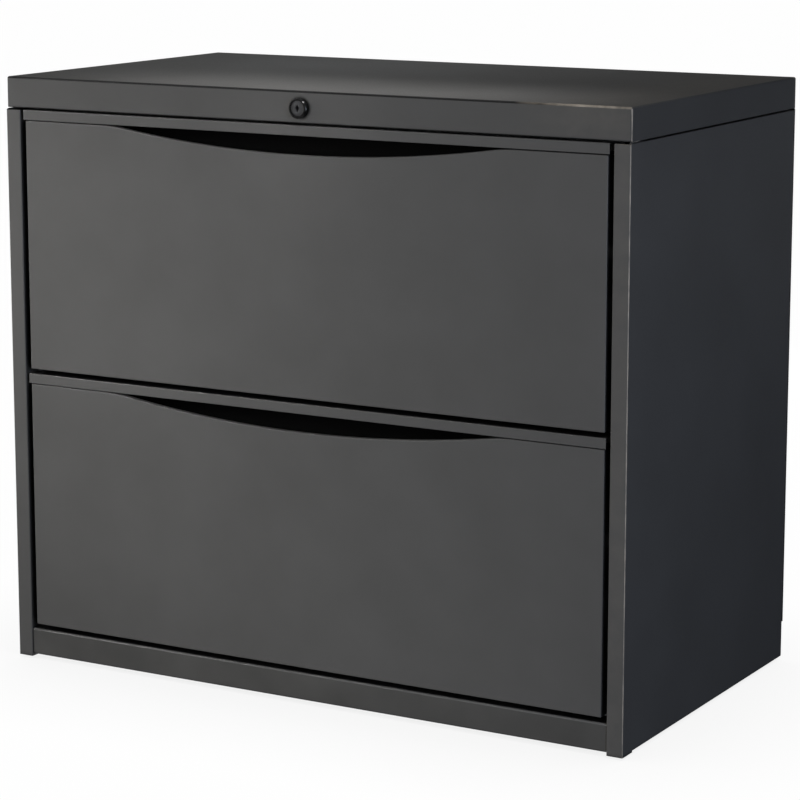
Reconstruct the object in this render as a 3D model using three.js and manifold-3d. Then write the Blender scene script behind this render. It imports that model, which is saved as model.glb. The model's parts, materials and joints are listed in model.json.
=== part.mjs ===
// A two-drawer lateral filing cabinet of folded sheet steel, in millimetres, +Z up, its front towards -Y.
// The pieces are drawn in the case's own frame: y runs back from the front of the posts, and z runs up
// from the bottom of the posts. The exported group moves them to the middle of the floor that it covers.
import * as THREE from "three";
import { mergeVertices } from "three/addons/utils/BufferGeometryUtils.js";
import Module from "manifold-3d";

const wasm = await Module();
wasm.setup();

// Overall sizes
const CASE_WIDTH = 820;
const CASE_DEPTH = 457;
const CASE_HEIGHT = 711;
const GLIDE_DROP = 3; // the glides stand this far below the posts
const LOCK_AHEAD = 4.5; // the lock's bezel stands this far ahead of the posts

// Sheet steel
const SHEET = 1;
const BEND = 1.5; // inside radius of a fold
const BEND_STEPS = 3;
const ARC_STEPS = 3; // half the sides of a drawn arc
const ARCH_STEPS = 12;
const FIT = 0.3; // gap left between pieces that touch

// Case shell
const HALF_WIDTH = CASE_WIDTH / 2;
const POST_WIDTH = 20;
const POST_RETURN = 25;
const POST_INNER = HALF_WIDTH - POST_WIDTH;
const BACK_RIM = 3.1;
const SIDE_REAR = CASE_DEPTH - BACK_RIM - FIT;
const SIDE_TOP = 672.2;
const SIDE_EDGE_RISE = 2; // behind the post the side's lower edge is this much higher
const BACK_BOTTOM = 45;
const COVER_BOTTOM = 674.2;
const COVER_SETBACK = 2;
const COVER_ROUND = 2.5;
const COVER_LIP = 11;
const COVER_CORNER = 3;
const RAIL_SETBACK = 2;
const RAIL_BOTTOM = 2.7;
const RAIL_TOP = 35.5;
const REAR_RAIL_TOP = 44;
const HEADER_FRONT = 35.5;
const HEADER_REAR = CASE_DEPTH - 11;
const HEADER_HALF = HALF_WIDTH - 12;
const FLANGE = 16; // usual width of a fold that stiffens an edge
const FLANGE_RUN = [36, CASE_DEPTH - 9]; // where a side's top flange and base channel run

// Drawers
const DRAWER_PITCH = 318;
const LOWER_DRAWER = 41.8; // bottom edge of the lower drawer front
const FRONT_HALF = POST_INNER - 7;
const FRONT_SETBACK = 1.1;
const FRONT_RETURN = 30; // depth of the drawer front's folded edges
const INNER_FRONT = FRONT_SETBACK + FRONT_RETURN + FIT;
const CAP_HALF = FRONT_HALF + 2;
const CAP_SHEET = 0.8;
const CAP_BOTTOM = 300.7;
const CAP_TOP = 312.5;
const CAP_REAR = INNER_FRONT + CAP_SHEET;
const ARCH_HALF = 258;
const ARCH_DROP = 21;
const ARCH_BLEND = 14; // length over which each end of the arch runs out into the cap's lower edge
const ARCH_LIP = 12; // depth of the lip turned back along the arch
const TRAY_HALF = FRONT_HALF - 5.3;
const TRAY_FLOOR = 8;
const TRAY_TOP = 250.5;
const TRAY_REAR = 440;
const TRAY_FLANGE = 6.5;
const HANG_RAIL_SPACING = 317;
const FRONT_HANG_RAIL = 72;

// Uprights and telescopic slides
const UPRIGHT_INNER = POST_INNER + SHEET;
const UPRIGHT_WIDTH = 37;
const UPRIGHT_TOP = SIDE_TOP - 4;
const UPRIGHT_FRONTS = [33.5, 387.5];
const SLOT_PITCH = DRAWER_PITCH / 6;
const SLOT = { width: 5, height: 16 };
const HOOK = { width: 4, sheet: 1.2, top: 3, neck: -7.7, tip: -12 };
const SLIDE_HEIGHT = 118; // middle of a slide above the drawer front's bottom edge
const SLIDE_LENGTH = 400;
const SLIDE_FRONT = 36;
const SLIDE_SHEET = 1.2;
const SLIDE_FACE = UPRIGHT_INNER - FIT; // the outer member's back
const BALL_RADIUS = 1.85;
const CAGE_LENGTH = 150;
const CAGE_START = SLIDE_FRONT + (SLIDE_LENGTH - CAGE_LENGTH) / 2;
const BALLS_PER_ROW = 3;

// Lock works
const LOCK_HEIGHT = 691.6;
const LOCK_BARREL = 9.4; // radius
const LOCK_HOLE = LOCK_BARREL + 0.4;
const LOCK_BORE = 8;
const LOCK_REAR = 24;
const ROUND_SIDES = 24;
const LOCK_TRAVEL = 10; // stroke of the cross link and of the lock bar
const CAM_FRONT = LOCK_REAR + 2.5;
const CAM_PIN = LOCK_TRAVEL / Math.SQRT2; // radius of the cam pin's quarter turn
const PIN_RADIUS = 2.2;
const STUD_RADIUS = 2.6;
const PLAY = 0.5; // clearance of a pin or stud in its slot
const STUD_HEAD = 5;
const BAR_FRONT = 29.5;
const LINK_FRONT = 32.3;
const STRIP = 2; // thickness of the link and the bar
const BAR_PIN = { x: 360, z: 684 };
const BAR_X = POST_INNER + 10;
const BAR_HALF = 5;
const BAR_STUDS = [270, 630];
const LINK_STUDS = [120, 300];
const LINK_HEIGHT = BAR_PIN.z + 1;
const LINK_HALF = 6;
const CATCH = { low: 200, height: 14, sheet: 1.6, reach: FRONT_HALF + 5.5 }; // from the front's bottom edge
const FINGER = { height: 12, gap: 2, reach: FRONT_HALF + 2 };

// Glides
const GLIDE_X = HALF_WIDTH - 38;
const GLIDE_Y = [50, CASE_DEPTH - 39];
const CHANNEL_TOP = 26.5;
const CHANNEL_INNER = HALF_WIDTH - 58;
const GLIDE_NUT = { radius: 7.5, height: 7, hole: 4.6 };

const FINISHES = {
  paint: { color: 0x55565a, roughness: 0.55, metalness: 0.1 },
  zinc: { color: 0xb9bcc0, roughness: 0.35, metalness: 0.9 },
  black: { color: 0x0e0e10, roughness: 0.25, metalness: 0.1 },
  plug: { color: 0x3a3a3d, roughness: 0.35, metalness: 0.7 },
  foot: { color: 0x1b1b1c, roughness: 0.7, metalness: 0 },
};

// Solids: joining and cutting

function solid(geometry) {
  const bare = new THREE.BufferGeometry();
  bare.setAttribute("position", geometry.getAttribute("position"));
  bare.setIndex(geometry.index);
  const merged = mergeVertices(bare, 1e-4);
  return new wasm.Manifold(
    new wasm.Mesh({
      numProp: 3,
      vertProperties: merged.getAttribute("position").array,
      triVerts: new Uint32Array(merged.index.array),
    }),
  );
}

function named(name, body, finish) {
  const { vertProperties, triVerts } = body.getMesh();
  const geometry = new THREE.BufferGeometry();
  geometry.setAttribute("position", new THREE.BufferAttribute(vertProperties, 3));
  geometry.setIndex(new THREE.BufferAttribute(triVerts, 1));
  const faceted = geometry.toNonIndexed();
  faceted.computeVertexNormals();
  const mesh = new THREE.Mesh(faceted, new THREE.MeshStandardMaterial(FINISHES[finish]));
  mesh.name = name;
  return mesh;
}

// Extrusions of a shape along one axis

const extruded = (shape, depth, curveSegments) =>
  new THREE.ExtrudeGeometry(shape, { depth, bevelEnabled: false, curveSegments });

// The shape holds (y, z).
function alongX(shape, from, to) {
  const turn = new THREE.Matrix4().makeBasis(
    new THREE.Vector3(0, 1, 0),
    new THREE.Vector3(0, 0, 1),
    new THREE.Vector3(1, 0, 0),
  );
  return solid(extruded(shape, to - from, ARC_STEPS).applyMatrix4(turn).translate(from, 0, 0));
}

// The shape holds (x, z).
const alongY = (shape, from, to, steps = ARC_STEPS) =>
  solid(extruded(shape, to - from, steps).rotateX(Math.PI / 2).translate(0, to, 0));

// The shape holds (x, y).
const alongZ = (shape, from, to) =>
  solid(extruded(shape, to - from, ARC_STEPS).translate(0, 0, from));

function block(x, y, z) {
  const size = [x, y, z].map(([low, high]) => high - low);
  const middle = [x, y, z].map(([low, high]) => (low + high) / 2);
  return solid(new THREE.BoxGeometry(...size).translate(...middle));
}

function rod(radius, x, z, from, to, sides = 12) {
  const geometry = new THREE.CylinderGeometry(radius, radius, to - from, sides);
  return solid(geometry.translate(x, (from + to) / 2, z));
}

// Outline of a folded sheet whose middle line is the path, with a bend at each of its corners.
function folded(path, sheet = SHEET, bend = BEND) {
  const points = path.map(([u, v]) => new THREE.Vector2(u, v));
  const radius = bend + sheet / 2;
  const left = [];
  const right = [];
  const put = (point, normal) => {
    left.push(point.clone().addScaledVector(normal, sheet / 2));
    right.push(point.clone().addScaledVector(normal, -sheet / 2));
  };
  const normalOf = (a, b) => new THREE.Vector2(a.y - b.y, b.x - a.x).normalize();
  points.forEach((point, i) => {
    const before = points[i - 1];
    const after = points[i + 1];
    if (!before || !after) {
      put(point, before ? normalOf(before, point) : normalOf(point, after));
      return;
    }
    const first = normalOf(before, point);
    const last = normalOf(point, after);
    const turn = Math.atan2(first.cross(last), first.dot(last));
    const side = Math.sign(turn);
    const run = radius * Math.tan(Math.abs(turn) / 2);
    const start = point.clone().add(new THREE.Vector2(-first.y, first.x).multiplyScalar(run));
    const centre = start.addScaledVector(first, radius * side);
    for (let k = 0; k <= BEND_STEPS; k++) {
      const normal = first.clone().rotateAround(new THREE.Vector2(), (turn * k) / BEND_STEPS);
      put(centre.clone().addScaledVector(normal, -radius * side), normal);
    }
  });
  return new THREE.Shape([...left, ...right.reverse()]);
}

// A slot with round ends, from one centre to the other.
function slotShape([u0, v0], [u1, v1], radius) {
  const angle = Math.atan2(v1 - v0, u1 - u0);
  const shape = new THREE.Shape();
  shape.absarc(u0, v0, radius, angle + Math.PI / 2, angle + (3 * Math.PI) / 2);
  shape.absarc(u1, v1, radius, angle - Math.PI / 2, angle + Math.PI / 2);
  return shape;
}

function roundedRectangle(u0, v0, u1, v1, radius) {
  const shape = new THREE.Shape();
  shape.absarc(u1 - radius, v0 + radius, radius, -Math.PI / 2, 0);
  shape.absarc(u1 - radius, v1 - radius, radius, 0, Math.PI / 2);
  shape.absarc(u0 + radius, v1 - radius, radius, Math.PI / 2, Math.PI);
  shape.absarc(u0 + radius, v0 + radius, radius, Math.PI, (3 * Math.PI) / 2);
  return shape;
}

const turned = (profile, sides) =>
  new THREE.LatheGeometry(
    profile.map(([radius, height]) => new THREE.Vector2(radius, height)),
    sides,
  );

// Case shell

// A pan: a flat top with folded edges all round, open below, with a lip turned in at the front and rear.
function topCover() {
  const plate = (inset, bottom, top, round) => {
    const outline = roundedRectangle(
      -HALF_WIDTH + inset,
      COVER_SETBACK + inset,
      HALF_WIDTH - inset,
      CASE_DEPTH - inset,
      round + 0.5,
    );
    const geometry = new THREE.ExtrudeGeometry(outline, {
      depth: top - bottom - 2 * round,
      bevelThickness: round,
      bevelSize: round,
      bevelOffset: -round,
      bevelSegments: BEND_STEPS,
      curveSegments: 2,
    });
    return solid(geometry.translate(0, 0, bottom + round));
  };
  const spare = 10; // the pan is drawn this much deeper, then trimmed
  const front = roundedRectangle(
    -HALF_WIDTH, COVER_BOTTOM, HALF_WIDTH, CASE_HEIGHT + spare, COVER_CORNER,
  );
  const side = roundedRectangle(
    COVER_SETBACK, COVER_BOTTOM, CASE_DEPTH, CASE_HEIGHT + spare, COVER_CORNER,
  );
  const inside = HALF_WIDTH - SHEET;
  return plate(0, COVER_BOTTOM - spare, CASE_HEIGHT, COVER_ROUND)
    .intersect(alongY(front, 0, CASE_DEPTH + spare))
    .intersect(alongX(side, -HALF_WIDTH - spare, HALF_WIDTH + spare))
    .subtract(plate(SHEET, COVER_BOTTOM + SHEET, CASE_HEIGHT - SHEET, COVER_ROUND - SHEET))
    .subtract(
      block(
        [-inside, inside],
        [COVER_SETBACK + COVER_LIP, CASE_DEPTH - COVER_LIP],
        [COVER_BOTTOM - spare, COVER_BOTTOM + spare],
      ),
    )
    .subtract(rod(LOCK_HOLE, 0, LOCK_HEIGHT, 0, COVER_SETBACK + 2 * SHEET, ROUND_SIDES));
}

// A wall, folded round at the front into a post, with a flange at the rear and one along its top.
function sidePanel() {
  const wall = HALF_WIDTH - SHEET / 2;
  const plan = [
    [POST_INNER + SHEET / 2, POST_RETURN],
    [POST_INNER + SHEET / 2, SHEET / 2],
    [wall, SHEET / 2],
    [wall, SIDE_REAR - SHEET / 2],
    [wall - FLANGE, SIDE_REAR - SHEET / 2],
  ];
  const overlap = 5; // height over which the wall is replaced by the fold of its top flange
  const topFlange = [
    [wall, SIDE_TOP - overlap],
    [wall, SIDE_TOP - SHEET / 2],
    [POST_INNER - overlap, SIDE_TOP - SHEET / 2],
  ];
  const past = HALF_WIDTH + SHEET;
  return alongZ(folded(plan), 0, SIDE_TOP)
    .subtract(block([wall - SHEET, past], FLANGE_RUN, [SIDE_TOP - overlap, CASE_HEIGHT]))
    .add(alongY(folded(topFlange), ...FLANGE_RUN))
    .subtract(block([POST_INNER, past], [POST_RETURN, CASE_DEPTH], [-SHEET, SIDE_EDGE_RISE]));
}

function backPanel() {
  const wall = HALF_WIDTH - SHEET / 2;
  const rear = CASE_DEPTH - SHEET / 2;
  const rim = CASE_DEPTH - BACK_RIM;
  const plan = [[-wall, rim], [-wall, rear], [wall, rear], [wall, rim]];
  return alongZ(folded(plan, SHEET, BEND / 2), BACK_BOTTOM, SIDE_TOP);
}

function baseFrontRail() {
  const face = RAIL_SETBACK + SHEET / 2;
  const rear = INNER_FRONT;
  const section = [
    [face + FLANGE, RAIL_BOTTOM + SHEET / 2],
    [face, RAIL_BOTTOM + SHEET / 2],
    [face, RAIL_TOP - SHEET / 2],
    [rear, RAIL_TOP - SHEET / 2],
    [rear, RAIL_TOP - FLANGE],
  ];
  const half = POST_INNER - FIT;
  return alongX(folded(section), -half, half);
}

function baseRearRail() {
  const face = SIDE_REAR - SHEET / 2;
  const section = [
    [face - FLANGE, RAIL_BOTTOM + SHEET / 2],
    [face, RAIL_BOTTOM + SHEET / 2],
    [face, REAR_RAIL_TOP - SHEET / 2],
    [face - 1.5 * FLANGE, REAR_RAIL_TOP - SHEET / 2],
  ];
  const half = POST_INNER - FIT;
  return alongX(folded(section), -half, half);
}

// A channel along the foot of a side, with a hex nut welded over each glide's hole.
function baseChannel() {
  const wall = HALF_WIDTH - SHEET - FIT - SHEET / 2;
  const web = CHANNEL_TOP - SHEET / 2;
  const foot = web - FLANGE;
  const section = [[wall, foot], [wall, web], [CHANNEL_INNER, web], [CHANNEL_INNER, foot]];
  const post = (radius, height, sides, y) =>
    solid(
      new THREE.CylinderGeometry(radius, radius, height, sides)
        .rotateX(Math.PI / 2)
        .translate(GLIDE_X, y, CHANNEL_TOP - SHEET / 2 + GLIDE_NUT.height / 2),
    );
  return GLIDE_Y.reduce(
    (channel, y) =>
      channel
        .add(post(GLIDE_NUT.radius, GLIDE_NUT.height, 6, y))
        .subtract(post(GLIDE_NUT.hole, 3 * GLIDE_NUT.height, 12, y)),
    alongY(folded(section), ...FLANGE_RUN),
  );
}

// A channel across the case that ties the sides and carries the cover. The front one also holds the
// headed studs on which the cross link slides.
function topHeader(front, inward) {
  const web = front + (inward * SHEET) / 2;
  const low = SIDE_TOP + FIT + SHEET / 2;
  const high = CASE_HEIGHT - SHEET - FIT - SHEET / 2;
  const section = [
    [web + inward * FLANGE, low],
    [web, low],
    [web, high],
    [web + inward * 1.5 * FLANGE, high],
  ];
  return alongX(folded(section), -HEADER_HALF, HEADER_HALF);
}

// A stud with a flat head, which holds a strip whose front face is at y.
const headedStud = (x, z, y, root) =>
  rod(STUD_RADIUS, x, z, y - SHEET, root).add(
    rod(STUD_HEAD, x, z, y - FIT - 1.5 * SHEET, y - FIT),
  );

function frontHeader() {
  return LINK_STUDS.reduce(
    (header, x) => header.add(headedStud(x, LINK_HEIGHT, LINK_FRONT, HEADER_FRONT + SHEET / 2)),
    topHeader(HEADER_FRONT, 1),
  );
}

// Uprights: a hat section with a row of slots that take the hooks of the slides

function upright(front) {
  const inner = UPRIGHT_INNER + SHEET / 2;
  const wall = HALF_WIDTH - SHEET - FIT - SHEET / 2;
  const near = front + SHEET / 2;
  const far = front + UPRIGHT_WIDTH - SHEET / 2;
  const plan = [
    [wall, near - FLANGE / 2],
    [wall, near],
    [inner, near],
    [inner, far],
    [wall, far],
    [wall, far + FLANGE],
  ];
  const middle = front + UPRIGHT_WIDTH / 2;
  const slots = { first: -2, last: 9 }; // counted from the lower slide
  let body = alongZ(folded(plan), CHANNEL_TOP + FIT, UPRIGHT_TOP);
  for (let step = slots.first; step <= slots.last; step++) {
    const z = LOWER_DRAWER + SLIDE_HEIGHT + step * SLOT_PITCH;
    body = body.subtract(
      block(
        [inner - SHEET, inner + SHEET],
        [middle - SLOT.width / 2, middle + SLOT.width / 2],
        [z - SLOT.height / 2, z + SLOT.height / 2],
      ),
    );
  }
  return body;
}

// The right front upright also holds the headed studs on which the lock bar slides.
function lockUpright() {
  const [front] = UPRIGHT_FRONTS;
  return BAR_STUDS.reduce(
    (body, z) => body.add(headedStud(BAR_X, z, BAR_FRONT, front + SHEET / 2)),
    upright(front),
  );
}

// Telescopic slides: three nested channels with a ball cage between each pair. The sections are drawn
// as (s, z), with s running from the upright towards the drawer and z from the slide's middle.

function slideSection(web, tip, flange, sheet) {
  const path = [[tip, flange], [web, flange], [web, -flange], [tip, -flange]];
  return folded(path.map(([s, z]) => [SLIDE_FACE - s, z]), sheet, sheet / 2);
}

function outerMember() {
  const member = alongY(
    slideSection(0.6, 11.2, 21.9, SLIDE_SHEET), SLIDE_FRONT, SLIDE_FRONT + SLIDE_LENGTH,
  );
  return UPRIGHT_FRONTS.reduce((body, front) => {
    const middle = front + UPRIGHT_WIDTH / 2;
    const width = [middle - HOOK.width / 2, middle + HOOK.width / 2];
    const back = UPRIGHT_INNER + SHEET + FIT;
    const end = back + HOOK.sheet;
    const neck = block([SLIDE_FACE - SLIDE_SHEET / 2, end], width, [HOOK.neck, HOOK.top]);
    const lip = block([back, end], width, [HOOK.tip, HOOK.top]);
    return body.add(neck).add(lip);
  }, member);
}

const middleMember = () =>
  alongY(slideSection(3, 10.6, 16.4, SLIDE_SHEET), SLIDE_FRONT, SLIDE_FRONT + SLIDE_LENGTH);

const innerMember = () =>
  alongY(slideSection(12.1, 6, 10.9, SLIDE_SHEET), SLIDE_FRONT, SLIDE_FRONT + SLIDE_LENGTH);

function ballCage(web, tip, row, ballAt) {
  const strip = slideSection(web, tip, row, 0.6);
  let cage = alongY(strip, CAGE_START, CAGE_START + CAGE_LENGTH);
  for (let i = 0; i < BALLS_PER_ROW; i++) {
    const y = CAGE_START + (CAGE_LENGTH * (i + 0.5)) / BALLS_PER_ROW;
    for (const z of [-row, row]) {
      const ball = new THREE.SphereGeometry(BALL_RADIUS, 6, 4);
      cage = cage.add(solid(ball.rotateX(Math.PI / 2).translate(SLIDE_FACE - ballAt, y, z)));
    }
  }
  return cage;
}

const outerCage = () => ballCage(1.8, 9.5, 19.15, 7.5);
const innerCage = () => ballCage(4.3, 10.3, 13.65, 8.5);

// Drawers, drawn with z from the bottom edge of the drawer front

const ARCH_RADIUS = (ARCH_HALF ** 2 + ARCH_DROP ** 2) / (2 * ARCH_DROP);
const ARCH_CENTRE = CAP_BOTTOM - ARCH_DROP + ARCH_RADIUS;

const onArch = (x, radius) => [x, ARCH_CENTRE - Math.sqrt(radius ** 2 - x ** 2)];

// The opening for the fingers: a shallow arc that runs out level at both ends.
function archOpening() {
  const [x, z] = onArch(ARCH_HALF - ARCH_BLEND, ARCH_RADIUS);
  const angle = Math.asin(x / ARCH_RADIUS);
  const outer = ARCH_HALF + ARCH_BLEND;
  const shape = new THREE.Shape();
  shape.moveTo(-outer, CAP_TOP);
  shape.lineTo(-outer, CAP_BOTTOM);
  shape.quadraticCurveTo(-ARCH_HALF, CAP_BOTTOM, -x, z);
  shape.absarc(0, ARCH_CENTRE, ARCH_RADIUS, -Math.PI / 2 - angle, -Math.PI / 2 + angle);
  shape.quadraticCurveTo(ARCH_HALF, CAP_BOTTOM, outer, CAP_BOTTOM);
  shape.lineTo(outer, CAP_TOP);
  return shape;
}

// The lip turned back along the arch, under the fingers.
function archLip() {
  const angle = Math.asin((ARCH_HALF - ARCH_BLEND) / ARCH_RADIUS);
  const low = -Math.PI / 2 - angle;
  const high = -Math.PI / 2 + angle;
  const shape = new THREE.Shape();
  shape.absarc(0, ARCH_CENTRE, ARCH_RADIUS, low, high);
  shape.absarc(0, ARCH_CENTRE, ARCH_RADIUS + SHEET, high, low, true);
  return shape;
}

function drawerFront() {
  const edge = FRONT_HALF - SHEET / 2;
  const face = FRONT_SETBACK + SHEET / 2;
  const back = FRONT_SETBACK + FRONT_RETURN;
  const relief = 2.6; // the folds of the sides and the bottom are notched apart at the corners
  const plan = [[-edge, back], [-edge, face], [edge, face], [edge, back]];
  const foot = [[face, FLANGE], [face, SHEET / 2], [back, SHEET / 2]];
  return alongZ(folded(plan, SHEET, SHEET), relief, CAP_TOP - 4 * SHEET)
    .add(alongX(folded(foot, SHEET, SHEET), -FRONT_HALF + relief, FRONT_HALF - relief))
    .subtract(alongY(archOpening(), 0, 2 * face, ARCH_STEPS))
    .add(alongY(archLip(), FRONT_SETBACK, FRONT_SETBACK + ARCH_LIP, ARCH_STEPS));
}

// A channel laid over the top edge of the drawer front, which spans the arch as the pull.
function pullCap() {
  const face = CAP_SHEET / 2;
  const rear = CAP_REAR - CAP_SHEET / 2;
  const top = CAP_TOP - CAP_SHEET / 2;
  const section = [[face, CAP_BOTTOM], [face, top], [rear, top], [rear, CAP_BOTTOM]];
  return alongX(folded(section, CAP_SHEET, 1.5 * CAP_SHEET), -CAP_HALF, CAP_HALF);
}

// A flat sheet that closes the drawer front from behind, up to the cap's rear flange.
const innerFront = () =>
  block(
    [-FRONT_HALF, FRONT_HALF],
    [INNER_FRONT, INNER_FRONT + SHEET],
    [SHEET + FIT, CAP_BOTTOM - FIT],
  );

// The floor and both sides in one folded sheet, with a bent catch welded to the right side.
function drawerTray() {
  const wall = TRAY_HALF - SHEET / 2;
  const floor = TRAY_FLOOR + SHEET / 2;
  const top = TRAY_TOP - SHEET / 2;
  const rim = wall + TRAY_FLANGE;
  const section = [[rim, top], [wall, top], [wall, floor]];
  const mirrored = section.map(([x, z]) => [-x, z]).reverse();
  const front = INNER_FRONT + SHEET + FIT;
  const tab = [
    [wall + SHEET, front + SHEET + FLANGE],
    [wall + SHEET, front + SHEET],
    [CATCH.reach, front + SHEET],
  ];
  return alongY(folded([...section, ...mirrored]), front, TRAY_REAR).add(
    alongZ(folded(tab, CATCH.sheet, SHEET), CATCH.low, CATCH.low + CATCH.height),
  );
}

function drawerBack() {
  const edge = TRAY_HALF - SHEET - FIT - SHEET / 2;
  const web = TRAY_REAR - SHEET;
  const fold = web - FLANGE;
  const plan = [[-edge, fold], [-edge, web], [edge, web], [edge, fold]];
  return alongZ(folded(plan), TRAY_FLOOR + SHEET + BEND, TRAY_TOP - FLANGE / 2);
}

// A flat bar on edge, whose ends hook over the rims of the tray.
function hangRail(y) {
  const inside = TRAY_HALF - SHEET - FIT - PLAY;
  const seat = TRAY_TOP + FIT;
  const rim = TRAY_HALF + TRAY_FLANGE + PLAY;
  const end = rim + 1.8;
  const bar = { drop: 22, rise: 3, hook: 6, half: 1.5 };
  const half = [
    [inside, seat - bar.drop],
    [inside, seat],
    [rim, seat],
    [rim, seat - bar.hook],
    [end, seat - bar.hook],
    [end, seat + bar.rise],
  ];
  const outline = [...half, ...half.map(([x, z]) => [-x, z]).reverse()];
  const shape = new THREE.Shape(outline.map(([x, z]) => new THREE.Vector2(x, z)));
  return alongY(shape, y - bar.half, y + bar.half);
}

// Lock works

function lockHousing() {
  const bezel = COVER_SETBACK - FIT;
  const round = 2.5;
  const outer = 11.75;
  const chamfer = 0.8;
  const face = -LOCK_AHEAD;
  const steps = 4;
  const rounded = Array.from({ length: steps + 1 }, (_, k) => {
    const angle = (k / steps) * (Math.PI / 2);
    return [outer - round + round * Math.sin(angle), face + round - round * Math.cos(angle)];
  });
  const profile = [
    [LOCK_BORE, LOCK_REAR],
    [LOCK_BORE, face + chamfer],
    [LOCK_BORE + chamfer, face],
    ...rounded,
    [outer, bezel],
    [LOCK_BARREL, bezel],
    [LOCK_BARREL, LOCK_REAR],
    [LOCK_BORE, LOCK_REAR],
  ];
  return solid(turned(profile, ROUND_SIDES)).translate(0, 0, LOCK_HEIGHT);
}

function lockNut() {
  const corner = 14;
  const front = COVER_SETBACK + SHEET + FIT;
  const rear = front + 5;
  return rod(corner, 0, LOCK_HEIGHT, front, rear, 6).subtract(
    rod(LOCK_HOLE, 0, LOCK_HEIGHT, front - SHEET, rear + SHEET, ROUND_SIDES),
  );
}

// The plug turns in the housing. Its face has a diamond-shaped keyway.
function lockPlug() {
  const face = -LOCK_AHEAD + 0.6;
  const step = face + 0.4; // a shallow ring round the face
  const radius = LOCK_BORE - 0.4;
  const shoulder = LOCK_REAR + 1;
  const tail = { radius: 5, end: CAM_FRONT - FIT };
  const profile = [
    [0, tail.end],
    [0, face],
    [radius - 2, face],
    [radius - 1.6, step],
    [radius - 0.5, step],
    [radius, step + 0.5],
    [radius, shoulder],
    [tail.radius, shoulder],
    [tail.radius, tail.end],
    [0, tail.end],
  ];
  const key = { half: 1.9, rise: 4.6, depth: 10 };
  const keyway = new THREE.Shape(
    [[0, -key.rise], [key.half, 0], [0, key.rise], [-key.half, 0]].map(
      ([x, z]) => new THREE.Vector2(x, z + LOCK_HEIGHT),
    ),
  );
  return solid(turned(profile, ROUND_SIDES))
    .translate(0, 0, LOCK_HEIGHT)
    .subtract(alongY(keyway, face - SHEET, face + key.depth));
}

const camPinX = CAM_PIN * Math.SQRT1_2;

// A rounded arm on the plug's tail, with the pin that draws the cross link along.
function lockCam() {
  const thickness = 3;
  const arm = slotShape([0, LOCK_HEIGHT], [camPinX, LOCK_HEIGHT - camPinX], 5);
  return alongY(arm, CAM_FRONT, CAM_FRONT + thickness).add(
    rod(PIN_RADIUS, camPinX, LOCK_HEIGHT - camPinX, CAM_FRONT + SHEET, HEADER_FRONT - PLAY),
  );
}

// A strip under the cover. Its slots take the cam pin, the guide studs and, on a slant, the bar's pin.
function lockLink() {
  const low = LINK_HEIGHT - LINK_HALF;
  const high = LINK_HEIGHT + LINK_HALF;
  const rim = 7; // material round the slanting slot
  const start = camPinX - PIN_RADIUS - rim;
  const end = BAR_PIN.x + LOCK_TRAVEL + rim;
  const top = BAR_PIN.z + LOCK_TRAVEL + rim;
  const shoulder = BAR_PIN.x - rim;
  const outline = [
    [start, low], [end, low], [end, top], [shoulder, top], [shoulder + high - top, high], [start, high],
  ];
  const shape = new THREE.Shape(outline.map(([x, z]) => new THREE.Vector2(x, z)));
  const camHeight = LOCK_HEIGHT - CAM_PIN;
  shape.holes.push(
    slotShape(
      [camPinX, camHeight - PLAY],
      [camPinX, LOCK_HEIGHT - camPinX + PLAY],
      PIN_RADIUS + PLAY,
    ),
    ...LINK_STUDS.map((x) =>
      slotShape([x, LINK_HEIGHT], [x + LOCK_TRAVEL, LINK_HEIGHT], STUD_RADIUS + PLAY),
    ),
    slotShape(
      [BAR_PIN.x, BAR_PIN.z],
      [BAR_PIN.x + LOCK_TRAVEL, BAR_PIN.z + LOCK_TRAVEL],
      PIN_RADIUS + PLAY,
    ),
  );
  return alongY(shape, LINK_FRONT, LINK_FRONT + STRIP);
}

// A vertical bar in the right post, with a finger for each drawer and an arm that carries its pin.
function lockBar() {
  const [inner, outer] = [BAR_X - BAR_HALF, BAR_X + BAR_HALF];
  const arm = {
    end: BAR_PIN.x - LINK_HALF,
    low: BAR_PIN.z - LINK_HALF,
    high: BAR_PIN.z + LINK_HALF,
  };
  const fingers = [1, 0].flatMap((k) => {
    const tip = LOWER_DRAWER + k * DRAWER_PITCH + CATCH.low - FINGER.gap;
    const root = tip - FINGER.height;
    return [[inner, tip], [FINGER.reach, tip], [FINGER.reach, root], [inner, root]];
  });
  const foot = LOWER_DRAWER + CATCH.low - 2 * FINGER.height;
  const outline = [
    [outer, foot],
    [outer, arm.high],
    [arm.end, arm.high],
    [arm.end, arm.low],
    [inner, arm.low],
    ...fingers,
    [inner, foot],
  ];
  const shape = new THREE.Shape(outline.map(([x, z]) => new THREE.Vector2(x, z)));
  shape.holes.push(
    ...BAR_STUDS.map((z) => slotShape([BAR_X, z - LOCK_TRAVEL], [BAR_X, z], STUD_RADIUS + PLAY)),
  );
  return alongY(shape, BAR_FRONT, BAR_FRONT + STRIP).add(
    rod(PIN_RADIUS, BAR_PIN.x, BAR_PIN.z, BAR_FRONT + SHEET, HEADER_FRONT - PLAY),
  );
}

// A round foot on a threaded stem.
function glide() {
  const [foot, collar, stem] = [14, 6.5, 4]; // radii
  const top = CHANNEL_TOP + 12.5;
  const profile = [
    [0, -GLIDE_DROP],
    [foot - 1, -GLIDE_DROP],
    [foot, 1 - GLIDE_DROP],
    [foot, 0],
    [foot - 2, 1.5],
    [collar, 2.5],
    [collar, 7],
    [stem, 8],
    [stem, top - 1],
    [stem - 1, top],
    [0, top],
  ];
  return solid(turned(profile, 16).rotateX(Math.PI / 2));
}

// Assembly

const cabinet = new THREE.Group();

function mirroredSide(side) {
  const group = new THREE.Group();
  group.scale.x = side === "left" ? -1 : 1;
  return group;
}

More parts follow.
